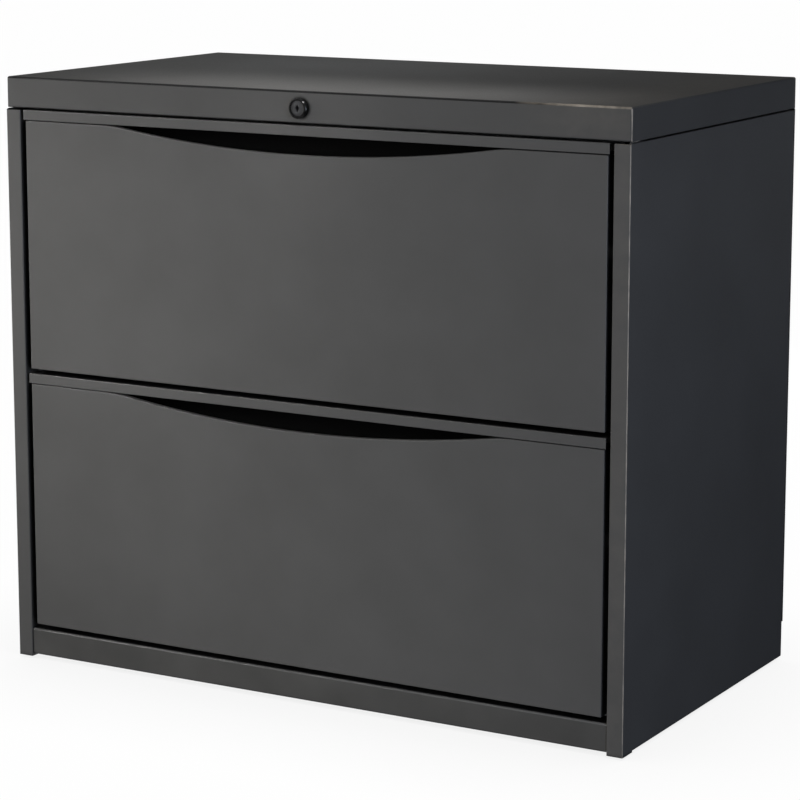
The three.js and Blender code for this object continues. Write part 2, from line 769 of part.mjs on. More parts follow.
function buildCase() {
  const group = new THREE.Group();
  group.add(
    named("top_cover", topCover(), "paint"),
    named("top_front_header", frontHeader(), "zinc"),
    named("top_rear_header", topHeader(HEADER_REAR, -1), "zinc"),
    named("back_panel", backPanel(), "paint"),
    named("base_front_rail", baseFrontRail(), "paint"),
    named("base_rear_rail", baseRearRail(), "paint"),
    named("lock_housing", lockHousing(), "black"),
    named("lock_nut", lockNut(), "zinc"),
    named("lock_plug", lockPlug(), "plug"),
    named("lock_cam", lockCam(), "zinc"),
    named("lock_link", lockLink(), "zinc"),
    named("lock_bar", lockBar(), "zinc"),
  );
  for (const side of ["left", "right"]) {
    const half = mirroredSide(side);
    const front = side === "right" ? lockUpright() : upright(UPRIGHT_FRONTS[0]);
    half.add(
      named(`${side}_side_panel`, sidePanel(), "paint"),
      named(`${side}_base_channel`, baseChannel(), "zinc"),
      named(`${side}_front_upright`, front, "zinc"),
      named(`${side}_rear_upright`, upright(UPRIGHT_FRONTS[1]), "zinc"),
    );
    ["front", "rear"].forEach((end, i) => {
      const foot = named(`${end}_${side}_glide`, glide(), "foot");
      foot.position.set(GLIDE_X, GLIDE_Y[i], 0);
      half.add(foot);
    });
    group.add(half);
  }
  return group;
}

function buildDrawer(level) {
  const group = new THREE.Group();
  group.add(
    named(`${level}_drawer_front`, drawerFront(), "paint"),
    named(`${level}_pull_cap`, pullCap(), "paint"),
    named(`${level}_inner_front`, innerFront(), "paint"),
    named(`${level}_tray`, drawerTray(), "paint"),
    named(`${level}_drawer_back`, drawerBack(), "paint"),
    named(`${level}_front_hang_rail`, hangRail(FRONT_HANG_RAIL), "zinc"),
    named(`${level}_rear_hang_rail`, hangRail(FRONT_HANG_RAIL + HANG_RAIL_SPACING), "zinc"),
  );
  for (const side of ["left", "right"]) {
    const slide = mirroredSide(side);
    slide.position.z = SLIDE_HEIGHT;
    slide.add(
      named(`${level}_${side}_outer_slide`, outerMember(), "zinc"),
      named(`${level}_${side}_middle_slide`, middleMember(), "zinc"),
      named(`${level}_${side}_inner_slide`, innerMember(), "zinc"),
      named(`${level}_${side}_outer_cage`, outerCage(), "zinc"),
      named(`${level}_${side}_inner_cage`, innerCage(), "zinc"),
    );
    group.add(slide);
  }
  return group;
}

cabinet.add(buildCase());
["lower", "upper"].forEach((level, i) => {
  const drawer = buildDrawer(level);
  drawer.position.z = LOWER_DRAWER + i * DRAWER_PITCH;
  cabinet.add(drawer);
});
cabinet.position.set(0, (LOCK_AHEAD - CASE_DEPTH) / 2, GLIDE_DROP);

const part = new THREE.Group();
part.add(cabinet);

export default part;
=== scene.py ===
"""Dresses a two-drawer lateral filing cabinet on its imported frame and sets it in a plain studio."""
import json
import logging
import math
from dataclasses import dataclass, field
from enum import Enum
from typing import ClassVar, Iterable, Sequence

import bmesh
import bpy
from bmesh.types import BMesh, BMEdge, BMFace, BMVert
from mathutils import Matrix, Quaternion, Vector


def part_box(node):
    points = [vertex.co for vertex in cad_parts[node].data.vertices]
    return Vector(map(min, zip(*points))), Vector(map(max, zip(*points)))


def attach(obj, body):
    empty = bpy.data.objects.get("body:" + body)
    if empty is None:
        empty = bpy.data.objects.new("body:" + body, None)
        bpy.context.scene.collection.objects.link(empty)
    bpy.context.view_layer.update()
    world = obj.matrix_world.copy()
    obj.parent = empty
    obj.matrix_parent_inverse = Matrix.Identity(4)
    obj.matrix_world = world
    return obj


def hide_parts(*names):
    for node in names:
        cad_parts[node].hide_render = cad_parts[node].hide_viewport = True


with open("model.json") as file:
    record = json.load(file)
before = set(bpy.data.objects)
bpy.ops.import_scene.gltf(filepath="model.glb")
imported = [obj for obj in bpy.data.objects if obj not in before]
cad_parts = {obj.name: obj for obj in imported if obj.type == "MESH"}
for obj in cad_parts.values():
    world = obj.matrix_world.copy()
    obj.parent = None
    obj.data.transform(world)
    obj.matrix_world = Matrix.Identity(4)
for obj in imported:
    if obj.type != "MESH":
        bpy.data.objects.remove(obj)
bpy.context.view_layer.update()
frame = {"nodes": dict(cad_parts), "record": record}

MM = 0.001
RIGHT_ANGLE = math.pi / 2
SHARP = math.radians(50.0)
MERGE_REACH = 0.001 * MM
PATTERN_ENDS = (0.3, 0.7)
MASK_RAYS = 8
CLOSE = 0.01 * MM
LOG = logging.getLogger("filing_cabinet")

Point = tuple[float, float]
Pair = tuple[float, float]
Triple = tuple[float, float, float]
Socket = bpy.types.NodeSocket


class Axis(Enum):
    """The direction along which a sheet is extruded."""

    X = "x"
    Y = "y"
    Z = "z"

    def at(self, u: float, v: float, along: float) -> Vector:
        """Returns the point that lies at (u, v) across the axis.

        Args:
            u: The first coordinate across the axis.
            v: The second coordinate across the axis.
            along: The place on the axis.

        Returns:
            The point in the cabinet's frame.
        """
        if self is Axis.X:
            return Vector((along, u, v))
        if self is Axis.Y:
            return Vector((u, along, v))
        return Vector((u, v, along))


class Side(Enum):
    """The left or right half of the cabinet."""

    LEFT = -1
    RIGHT = 1

    @property
    def word(self) -> str:
        """The name that the frame's nodes use."""
        return self.name.lower()


class Level(Enum):
    """The lower or upper drawer."""

    LOWER = "lower"
    UPPER = "upper"


def corners(node: str) -> tuple[Vector, Vector]:
    """Returns the lowest and the highest corner of a frame node."""
    low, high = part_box(node)
    return Vector(low), Vector(high)


# Finishes


@dataclass(frozen=True)
class Nodes:
    """A new node material and short ways to fill it."""

    material: bpy.types.Material

    @classmethod
    def start(cls, name: str) -> "Nodes":
        """Makes an empty node material.

        Args:
            name: The material's name.

        Returns:
            The material, ready to be filled.
        """
        material = bpy.data.materials.new(name)
        material.use_nodes = True
        return cls(material)

    @property
    def shader(self) -> bpy.types.Node:
        """The main surface shader."""
        return self.material.node_tree.nodes["Principled BSDF"]

    def add(self, kind: str, **values: object) -> bpy.types.Node:
        """Adds a node.

        Args:
            kind: The node's type.
            values: Its properties, or inputs where a name has a capital.

        Returns:
            The new node.
        """
        node = self.material.node_tree.nodes.new(kind)
        for key, value in values.items():
            if key[0].isupper():
                node.inputs[key.replace("_", " ")].default_value = value
            else:
                setattr(node, key, value)
        return node

    def link(self, source: Socket, target: Socket) -> None:
        """Joins an output to an input."""
        self.material.node_tree.links.new(source, target)

    def noise(self, scale: float, detail: float, stretch: Vector | None = None) -> Socket:
        """Adds a noise pattern on the piece's own coordinates.

        Args:
            scale: Cells per metre.
            detail: Octaves.
            stretch: How much the pattern is squeezed on each axis.

        Returns:
            The pattern's factor output.
        """
        spot = self.add("ShaderNodeTexCoord").outputs["Object"]
        if stretch is not None:
            mapping = self.add("ShaderNodeMapping", Scale=stretch)
            self.link(spot, mapping.inputs["Vector"])
            spot = mapping.outputs["Vector"]
        pattern = self.add("ShaderNodeTexNoise", Scale=scale, Detail=detail)
        self.link(spot, pattern.inputs["Vector"])
        return pattern.outputs["Fac"]

    def ramp(self, factor: Socket, low: float, high: float) -> Socket:
        """Maps a pattern onto a range of values.

        Args:
            factor: The pattern.
            low: The value at the pattern's low end.
            high: The value at the pattern's high end.

        Returns:
            The mapped output.
        """
        start, full = PATTERN_ENDS
        node = self.add(
            "ShaderNodeMapRange", From_Min=start, From_Max=full, To_Min=low, To_Max=high,
        )
        self.link(factor, node.inputs["Value"])
        return node.outputs["Result"]

    def roughen(self, factor: Socket, low: float, high: float) -> None:
        """Varies the surface's roughness by a pattern.

        Args:
            factor: The pattern.
            low: The roughness at the pattern's low end.
            high: The roughness at the pattern's high end.
        """
        self.link(self.ramp(factor, low, high), self.shader.inputs["Roughness"])

    def shine(self, specular: float = 0.5, metallic: float = 0.0) -> None:
        """Sets how strongly the surface mirrors, and its share of bare metal."""
        self.shader.inputs["Specular IOR Level"].default_value = specular
        self.shader.inputs["Metallic"].default_value = metallic

    def tint(self, factor: Socket, first: Sequence[float], second: Sequence[float]) -> None:
        """Colours the surface between two tones by a pattern.

        Args:
            factor: The pattern.
            first: The tone at the pattern's low end.
            second: The tone at the pattern's high end.
        """
        ramp = self.add("ShaderNodeValToRGB")
        for stop, position, tone in zip(ramp.color_ramp.elements, PATTERN_ENDS, (first, second)):
            stop.position = position
            stop.color = (*tone, 1.0)
        self.link(factor, ramp.inputs["Fac"])
        self.link(ramp.outputs["Color"], self.shader.inputs["Base Color"])

    def facing(self, direction: Sequence[float], start: float, full: float) -> Socket:
        """Adds a mask of the surface that faces a direction.

        Args:
            direction: The direction, of length one.
            start: The cosine at which the mask begins.
            full: The cosine from which it is full.

        Returns:
            The mask's output.
        """
        dot = self.add("ShaderNodeVectorMath", operation="DOT_PRODUCT")
        self.link(self.add("ShaderNodeNewGeometry").outputs["Normal"], dot.inputs[0])
        dot.inputs[1].default_value = direction
        return self.rise(dot.outputs["Value"], start, full)

    def across(self, start: float, full: float) -> Socket:
        """Adds a mask that rises across the cabinet, from left to right.

        Args:
            start: Where the mask begins.
            full: From where it is full.

        Returns:
            The mask's output.
        """
        parts = self.add("ShaderNodeSeparateXYZ")
        self.link(self.add("ShaderNodeTexCoord").outputs["Object"], parts.inputs["Vector"])
        return self.rise(parts.outputs["X"], start, full)

    def rise(self, value: Socket, start: float, full: float) -> Socket:
        """Maps a value onto a mask.

        Args:
            value: The value.
            start: The value at which the mask begins.
            full: The value at which it is full.

        Returns:
            The mask's output.
        """
        node = self.add("ShaderNodeMapRange", From_Min=start, From_Max=full)
        self.link(value, node.inputs["Value"])
        return node.outputs["Result"]

    def product(self, first: Socket, second: Socket) -> Socket:
        """Multiplies two masks.

        Args:
            first: One mask.
            second: The other mask.

        Returns:
            The product's output.
        """
        node = self.add("ShaderNodeMath", operation="MULTIPLY")
        self.link(first, node.inputs[0])
        self.link(second, node.inputs[1])
        return node.outputs["Value"]

    def crevice(self, reach: float, start: float, full: float) -> Socket:
        """Adds a mask of the surface that other surfaces close in.

        Args:
            reach: How far off a surface still counts, in metres.
            start: The open share at which the mask begins.
            full: The open share from which it is full.

        Returns:
            The mask's output.
        """
        node = self.add("ShaderNodeAmbientOcclusion", samples=MASK_RAYS, Distance=reach)
        return self.rise(node.outputs["AO"], start, full)

    def blend(self, mask: Socket) -> tuple[list[Socket], Socket]:
        """Adds a mix of two colours.

        Args:
            mask: The share of the second colour.

        Returns:
            The inputs of both colours, and the mixed output.
        """
        node = self.add("ShaderNodeMix", data_type="RGBA")
        self.link(mask, node.inputs["Factor"])
        colours = [socket for socket in node.inputs if socket.type == "RGBA"]
        return colours, next(socket for socket in node.outputs if socket.type == "RGBA")

    def overlay(self, mask: Socket, tone: Sequence[float]) -> None:
        """Lays a tone over the surface's colour.

        Args:
            mask: Where the tone lies.
            tone: The tone.
        """
        colour = self.shader.inputs["Base Color"]
        (first, second), mixed = self.blend(mask)
        self.link(colour.links[0].from_socket, first)
        second.default_value = (*tone, 1.0)
        self.link(mixed, colour)

    def bump(self, height: Socket, strength: float, depth: float) -> None:
        """Raises the surface by a pattern.

        Args:
            height: The pattern.
            strength: How strongly it shows.
            depth: Its depth in metres.
        """
        node = self.add("ShaderNodeBump", Strength=strength, Distance=depth)
        self.link(height, node.inputs["Height"])
        self.link(node.outputs["Normal"], self.shader.inputs["Normal"])


@dataclass(frozen=True)
class Finish:
    """A surface finish, with the record's slot that it stands for."""

    slot: str
    made: ClassVar[dict["Finish", bpy.types.Material]] = {}

    def material(self) -> bpy.types.Material:
        """Makes the finish's material, once.

        Returns:
            The material.
        """
        if self not in Finish.made:
            nodes = Nodes.start(type(self).__name__)
            self.dress(nodes)
            Finish.made[self] = nodes.material
        return Finish.made[self]

    def dress(self, nodes: Nodes) -> None:
        """Fills the material's nodes; each finish has its own way."""
        raise NotImplementedError


@dataclass(frozen=True)
class CharcoalPowderCoat(Finish):
    """Satin charcoal powder coat: a fine orange peel, a slight cloudiness, and painted shade in the
    gaps between parts.
    """

    slot: str = "paint"
    dark: Triple = (0.085, 0.083, 0.08)
    light: Triple = (0.098, 0.096, 0.093)
    gloss: Pair = (0.33, 0.4)
    specular: float = 0.25
    cloud_scale: float = 9.0
    peel_scale: float = 750.0
    peel_depth: float = 0.05 * MM
    peel_strength: float = 0.12
    gap_reach: float = 12.0 * MM
    gap_open: Pair = (0.85, 0.5)
    gap_tone: Triple = (0.004, 0.004, 0.004)

    def dress(self, nodes: Nodes) -> None:
        """Fills the material's nodes.

        Args:
            nodes: The material.
        """
        nodes.tint(nodes.noise(self.cloud_scale, detail=4.0), self.dark, self.light)
        # Painted shade: the coat turns near-black where other surfaces close it in, in the gaps
        # between parts.
        nodes.overlay(nodes.crevice(self.gap_reach, *self.gap_open), self.gap_tone)
        peel = nodes.noise(self.peel_scale, detail=2.0)
        nodes.roughen(peel, *self.gloss)
        nodes.bump(peel, self.peel_strength, self.peel_depth)
        nodes.shine(self.specular)


@dataclass(frozen=True)
class EdgedPowderCoat(CharcoalPowderCoat):
    """The coat of cover and sides: a painted dark line of shade along the top edge, and a dotted
    painted highlight at the right front corner and at the top edge's right end.
    """

    top_edge: Triple = (0.0, -0.7071, 0.7071)
    corner: Triple = (0.7071, -0.7071, 0.0)
    narrow: Pair = (0.9, 0.96)
    broad: Pair = (0.7, 0.82)
    right_end: Pair = (0.27, 0.35)
    corner_from: Pair = (0.39, 0.4)
    dark_tone: Triple = (0.005, 0.005, 0.005)
    edge_specular: float = 0.1
    rubbed_tone: Triple = (0.5, 0.44, 0.36)
    rub_scale: float = 60.0
    rub_share: Pair = (0.35, 1.0)

    def dress(self, nodes: Nodes) -> None:
        """Fills the material's nodes.

        Args:
            nodes: The material.
        """
        super().dress(nodes)
        # A noise that breaks the painted highlights below into dots.
        highlight_break = nodes.ramp(nodes.noise(self.rub_scale, detail=3.0), *self.rub_share)
        # Painted shade: a near-black line along the rounded top edge, where the specular is also
        # lowered so that it stays dark.
        edge = nodes.facing(self.top_edge, *self.broad)
        nodes.overlay(edge, self.dark_tone)
        dull = nodes.ramp(edge, self.specular, self.edge_specular)
        nodes.link(dull, nodes.shader.inputs["Specular IOR Level"])
        # Painted highlight at the right end of the top edge.
        end = nodes.product(edge, nodes.across(*self.right_end))
        nodes.overlay(nodes.product(end, highlight_break), self.rubbed_tone)
        # Painted highlight down the rounded right front corner.
        fold = nodes.facing(self.corner, *self.narrow)
        side = nodes.product(fold, nodes.across(*self.corner_from))
        nodes.overlay(nodes.product(side, highlight_break), self.rubbed_tone)


@dataclass(frozen=True)
class RailPowderCoat(CharcoalPowderCoat):
    """The base rail's coat: a darker, cloudier copy of the charcoal coat, with a painted highlight
    along its top fold and painted shade along the bottom one.
    """

    dark: Triple = (0.056, 0.0546, 0.0515)
    light: Triple = (0.081, 0.079, 0.0745)
    cloud_scale: float = 14.0
    top_fold: Triple = (0.0, -0.7071, 0.7071)
    foot_fold: Triple = (0.0, -0.7071, -0.7071)
    fold_band: Pair = (0.74, 0.86)
    top_tone: Triple = (0.122, 0.12, 0.116)
    foot_tone: Triple = (0.015, 0.015, 0.015)

    def dress(self, nodes: Nodes) -> None:
        """Fills the material's nodes.

        Args:
            nodes: The material.
        """
        super().dress(nodes)
        # Painted highlight along the rounded top fold, and painted shade along the rounded bottom
        # fold.
        nodes.overlay(nodes.facing(self.top_fold, *self.fold_band), self.top_tone)
        nodes.overlay(nodes.facing(self.foot_fold, *self.fold_band), self.foot_tone)


@dataclass(frozen=True)
class DarkPrimer(Finish):
    """Near-black coat on the sheet behind the pull, painted shade that keeps the recess black, with
    the charcoal paint on the tray's side.
    """

    slot: str = "paint"
    dark: Triple = (0.0008, 0.0008, 0.0008)
    light: Triple = (0.0018, 0.0018, 0.0018)
    gloss: Pair = (0.6, 0.75)
    specular: float = 0.03
    grain_scale: float = 500.0
    grain_strength: float = 0.1
    grain_depth: float = 0.03 * MM
    inner_face: Triple = (0.0, 1.0, 0.0)
    inner_band: Pair = (0.5, 0.9)
    inner_tone: Triple = (0.075, 0.073, 0.07)

    def dress(self, nodes: Nodes) -> None:
        """Fills the material's nodes.

        Args:
            nodes: The material.
        """
        grain = nodes.noise(self.grain_scale, detail=3.0)
        nodes.tint(grain, self.dark, self.light)
        nodes.overlay(nodes.facing(self.inner_face, *self.inner_band), self.inner_tone)
        nodes.roughen(grain, *self.gloss)
        nodes.bump(grain, self.grain_strength, self.grain_depth)
        nodes.shine(self.specular)


@dataclass(frozen=True)
class ZincPlate(Finish):
    """Bright zinc on rolled steel, with faint lines along the length and cloudy spangle."""

    slot: str = "zinc"
    dull: Triple = (0.42, 0.43, 0.45)
    bright: Triple = (0.6, 0.61, 0.62)
    gloss: Pair = (0.28, 0.45)
    spangle_scale: float = 140.0
    line_scale: float = 900.0
    line_stretch: Triple = (1.0, 0.03, 1.0)
    line_strength: float = 0.1
    line_depth: float = 0.02 * MM
    metallic: float = 1.0

    def dress(self, nodes: Nodes) -> None:
        """Fills the material's nodes.

        Args:
            nodes: The material.
        """
        nodes.tint(nodes.noise(self.spangle_scale, detail=3.0), self.dull, self.bright)
        lines = nodes.noise(self.line_scale, detail=2.0, stretch=Vector(self.line_stretch))
        nodes.roughen(lines, *self.gloss)
        nodes.bump(lines, self.line_strength, self.line_depth)
        nodes.shine(metallic=self.metallic)


@dataclass(frozen=True)
class GlossBlack(Finish):
    """Gloss black on the lock's bezel."""

    slot: str = "lock_black"
    dark: Triple = (0.003, 0.003, 0.003)
    light: Triple = (0.006, 0.006, 0.006)
    gloss: Pair = (0.07, 0.1)
    specular: float = 0.1
    cloud_scale: float = 400.0
    peel_scale: float = 1500.0
    peel_strength: float = 0.05
    peel_depth: float = 0.02 * MM

    def dress(self, nodes: Nodes) -> None:
        """Fills the material's nodes.

        Args:
            nodes: The material.
        """
        cloud = nodes.noise(self.cloud_scale, detail=3.0)
        nodes.tint(cloud, self.dark, self.light)
        nodes.roughen(cloud, *self.gloss)
        peel = nodes.noise(self.peel_scale, detail=2.0)
        nodes.bump(peel, self.peel_strength, self.peel_depth)
        nodes.shine(self.specular)


@dataclass(frozen=True)
class PlugMetal(Finish):
    """Dark plated metal on the lock's plug, with the fine rings that a lathe leaves."""

    slot: str = "lock_plug"
    dark: Triple = (0.026, 0.026, 0.027)
    light: Triple = (0.066, 0.066, 0.068)
    gloss: Pair = (0.34, 0.46)
    ring_scale: float = 260.0
    ring_sway: float = 0.4
    ring_strength: float = 0.15
    ring_depth: float = 0.03 * MM
    stain_scale: float = 700.0
    metallic: float = 0.15
    specular: float = 0.14

    def dress(self, nodes: Nodes) -> None:
        """Fills the material's nodes.

        Args:
            nodes: The material.
        """
        low, high = corners("lock_plug")
        centre = (low + high) / 2
        mapping = nodes.add("ShaderNodeMapping", Location=-centre)
        nodes.link(nodes.add("ShaderNodeTexCoord").outputs["Object"], mapping.inputs["Vector"])
        rings = nodes.add(
            "ShaderNodeTexWave", wave_type="RINGS", rings_direction="Y", Scale=self.ring_scale,
            Distortion=self.ring_sway,
        )
        nodes.link(mapping.outputs["Vector"], rings.inputs["Vector"])
        nodes.tint(rings.outputs["Fac"], self.dark, self.light)
        stain = nodes.noise(self.stain_scale, detail=2.0)
        nodes.roughen(stain, *self.gloss)
        nodes.bump(rings.outputs["Fac"], self.ring_strength, self.ring_depth)
        nodes.shine(self.specular, self.metallic)


@dataclass(frozen=True)
class FootPlastic(Finish):
    """Moulded black plastic on the glides, scuffed by the floor."""

    slot: str = "foot"
    dark: Triple = (0.014, 0.014, 0.014)
    light: Triple = (0.03, 0.03, 0.029)
    gloss: Pair = (0.5, 0.7)
    scuff_scale: float = 300.0
    scuff_strength: float = 0.2
    scuff_depth: float = 0.03 * MM

    def dress(self, nodes: Nodes) -> None:
        """Fills the material's nodes.

        Args:
            nodes: The material.
        """
        scuff = nodes.noise(self.scuff_scale, detail=4.0)
        nodes.tint(scuff, self.dark, self.light)
        nodes.roughen(scuff, *self.gloss)
        nodes.bump(scuff, self.scuff_strength, self.scuff_depth)


PAINT = CharcoalPowderCoat()
EDGED_PAINT = EdgedPowderCoat()
# A darker copy of the edged coat for the cover: painted shade over the whole cover, with a shorter
# reach for its painted gap shade.
SHADED_COVER_PAINT = EdgedPowderCoat(
    dark=(0.074, 0.0725, 0.07), light=(0.085, 0.0835, 0.081), gap_reach=5.0 * MM,
)
RAIL_PAINT = RailPowderCoat()
RECESS_SHADE = DarkPrimer()
ZINC = ZincPlate()
BLACK = GlossBlack()
PLUG = PlugMetal()
FOOT = FootPlastic()
FINISH_OF_SLOT: dict[str, Finish] = {f.slot: f for f in (PAINT, ZINC, BLACK, PLUG, FOOT)}


# Mesh operations


def bevel(
    bm: BMesh, items: Iterable[BMEdge | BMVert], radius: float, steps: int, affect: str = "EDGES",
) -> list[BMFace]:
    """Rounds edges or corners of a mesh.

    Args:
        bm: The mesh.
        items: The edges or corners.
        radius: How far back the rounding starts.
        steps: The number of segments.
        affect: Whether edges or vertices are rounded.

    Returns:
        The new faces.
    """
    return bmesh.ops.bevel(
        bm, geom=list(items), offset=radius, offset_type="OFFSET", affect=affect, segments=steps,
        profile=0.5, material=-1,
    )["faces"]


def grow(bm: BMesh, edges: Iterable[BMEdge], move: Vector) -> list[BMEdge]:
    """Extrudes edges of a mesh.

    Args:
        bm: The mesh.
        edges: The edges.
        move: The way that the new edges go.

    Returns:
        The new free edges.
    """
    grown = bmesh.ops.extrude_edge_only(bm, edges=list(edges))["geom"]
    moved = [item for item in grown if isinstance(item, BMVert)]
    bmesh.ops.translate(bm, verts=moved, vec=move)
    return [edge for edge in bm.edges if all(v in moved for v in edge.verts)]


def cut(bm: BMesh, point: Vector, normal: Vector) -> None:
    """Divides every face of a mesh that a plane crosses."""
    whole = bm.verts[:] + bm.edges[:] + bm.faces[:]
    bmesh.ops.bisect_plane(bm, geom=whole, plane_co=point, plane_no=normal)


def middle(face: BMFace) -> Vector:
    """Returns the middle of a face."""
    return face.calc_center_median()


def turned(profile: Sequence[Point], centre: Vector, axis: Vector, steps: int) -> BMesh:
    """Turns a profile round an axis.

    Args:
        profile: Radius and distance along the axis, point by point.
        centre: The point from which the distances run.
        axis: The direction of the axis.
        steps: The number of segments.

    Returns:
        The turned mesh, with its doubles merged.
    """
    bm = bmesh.new()
    across = axis.orthogonal().normalized()
    points = [bm.verts.new(centre + across * radius + axis * along) for radius, along in profile]
    edges = [bm.edges.new(pair) for pair in zip(points, points[1:])]
    bmesh.ops.spin(
        bm, geom=points + edges, cent=centre, axis=axis, angle=2 * math.pi, steps=steps,
        use_merge=True, use_duplicate=False,
    )
    bmesh.ops.remove_doubles(bm, verts=bm.verts[:], dist=MERGE_REACH)
    return bm


def show(name: str, data: bpy.types.ID) -> bpy.types.Object:
    """Makes a mesh, a lamp or a camera an object of the scene.

    Args:
        name: The object's name.
        data: What it shows.

    Returns:
        The new object.
    """
    item = bpy.data.objects.new(name, data)
    bpy.context.scene.collection.objects.link(item)
    return item


def place(bm: BMesh, name: str, material: bpy.types.Material) -> bpy.types.Object:
    """Makes a mesh an object of the scene.

    Args:
        bm: The mesh, which is freed.
        name: The object's name.
        material: Its material.

    Returns:
        The new object.
    """
    mesh = bpy.data.meshes.new(name)
    bm.to_mesh(mesh)
    bm.free()
    mesh.materials.append(material)
    return show(name, mesh)


# Sheet metal


@dataclass(frozen=True)
class Sheet:
    """Sheet steel: its thickness, the radius of its folds and of its cut edges."""

    thickness: float = 1.0 * MM
    fold: float = 2.0 * MM
    cut_edge: float = 0.2 * MM
    fold_steps: int = 6
    edge_steps: int = 2

    @property
    def half(self) -> float:
        """Half of the thickness, from a face to the middle of the sheet."""
        return self.thickness / 2

    def strip(self, path: Sequence[Point], axis: Axis, start: float, stop: float) -> BMesh:
        """Makes the middle face of a folded strip.

        Args:
            path: The corners of the section, across the axis.
            axis: The direction in which the folds run.
            start: The first end on the axis.
            stop: The last end on the axis.

        Returns:
            An open mesh with a rounded fold at each inner corner.
        """
        bm = bmesh.new()
        points = [bm.verts.new(axis.at(u, v, start)) for u, v in path]
        edges = [bm.edges.new(pair) for pair in zip(points, points[1:])]
        grow(bm, edges, axis.at(0.0, 0.0, stop - start))
        folds = [edge for edge in bm.edges if len(edge.link_faces) == 2]
        if folds:
            bevel(bm, folds, self.fold, self.fold_steps)
        return bm

    def thicken(self, piece: bpy.types.Object) -> None:
        """Gives a middle face its thickness and softens its cut edges.

        Args:
            piece: The piece whose mesh is the middle face.
        """
        shell = piece.modifiers.new("thickness", "SOLIDIFY")
        shell.thickness = self.thickness
        shell.offset = 0.0
        shell.use_even_offset = True
        soften(piece, self.cut_edge, self.edge_steps)


def soften(piece: bpy.types.Object, radius: float, steps: int = 2) -> None:
    """Rounds the sharp edges of a piece and keeps its flat faces flat.

    Args:
        piece: The piece.
        radius: The radius of the edges.
        steps: The number of segments.
    """
    edge = piece.modifiers.new("edges", "BEVEL")
    edge.width = radius
    edge.segments = steps
    edge.limit_method = "ANGLE"
    edge.angle_limit = SHARP
    edge.use_clamp_overlap = True
    normals = piece.modifiers.new("normals", "WEIGHTED_NORMAL")
    normals.keep_sharp = False


def put(
    bm: BMesh, name: str, finish: Finish, body: str, replaced: Sequence[str] = (),
) -> bpy.types.Object:
    """Makes a mesh a piece of the cabinet.

    Args:
        bm: The mesh, in the cabinet's frame; it is freed.
        name: The piece's name.
        finish: Its finish.
        body: The body on which it rides.
        replaced: The frame's nodes for which it stands.

    Returns:
        The new object.
    """
    bmesh.ops.recalc_face_normals(bm, faces=bm.faces[:])
    for face in bm.faces:
        face.smooth = True
    piece = place(bm, name, finish.material())
    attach(piece, body)
    if replaced:
        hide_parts(*replaced)
    LOG.info("%s rides on %s", name, body)
    return piece


# Case


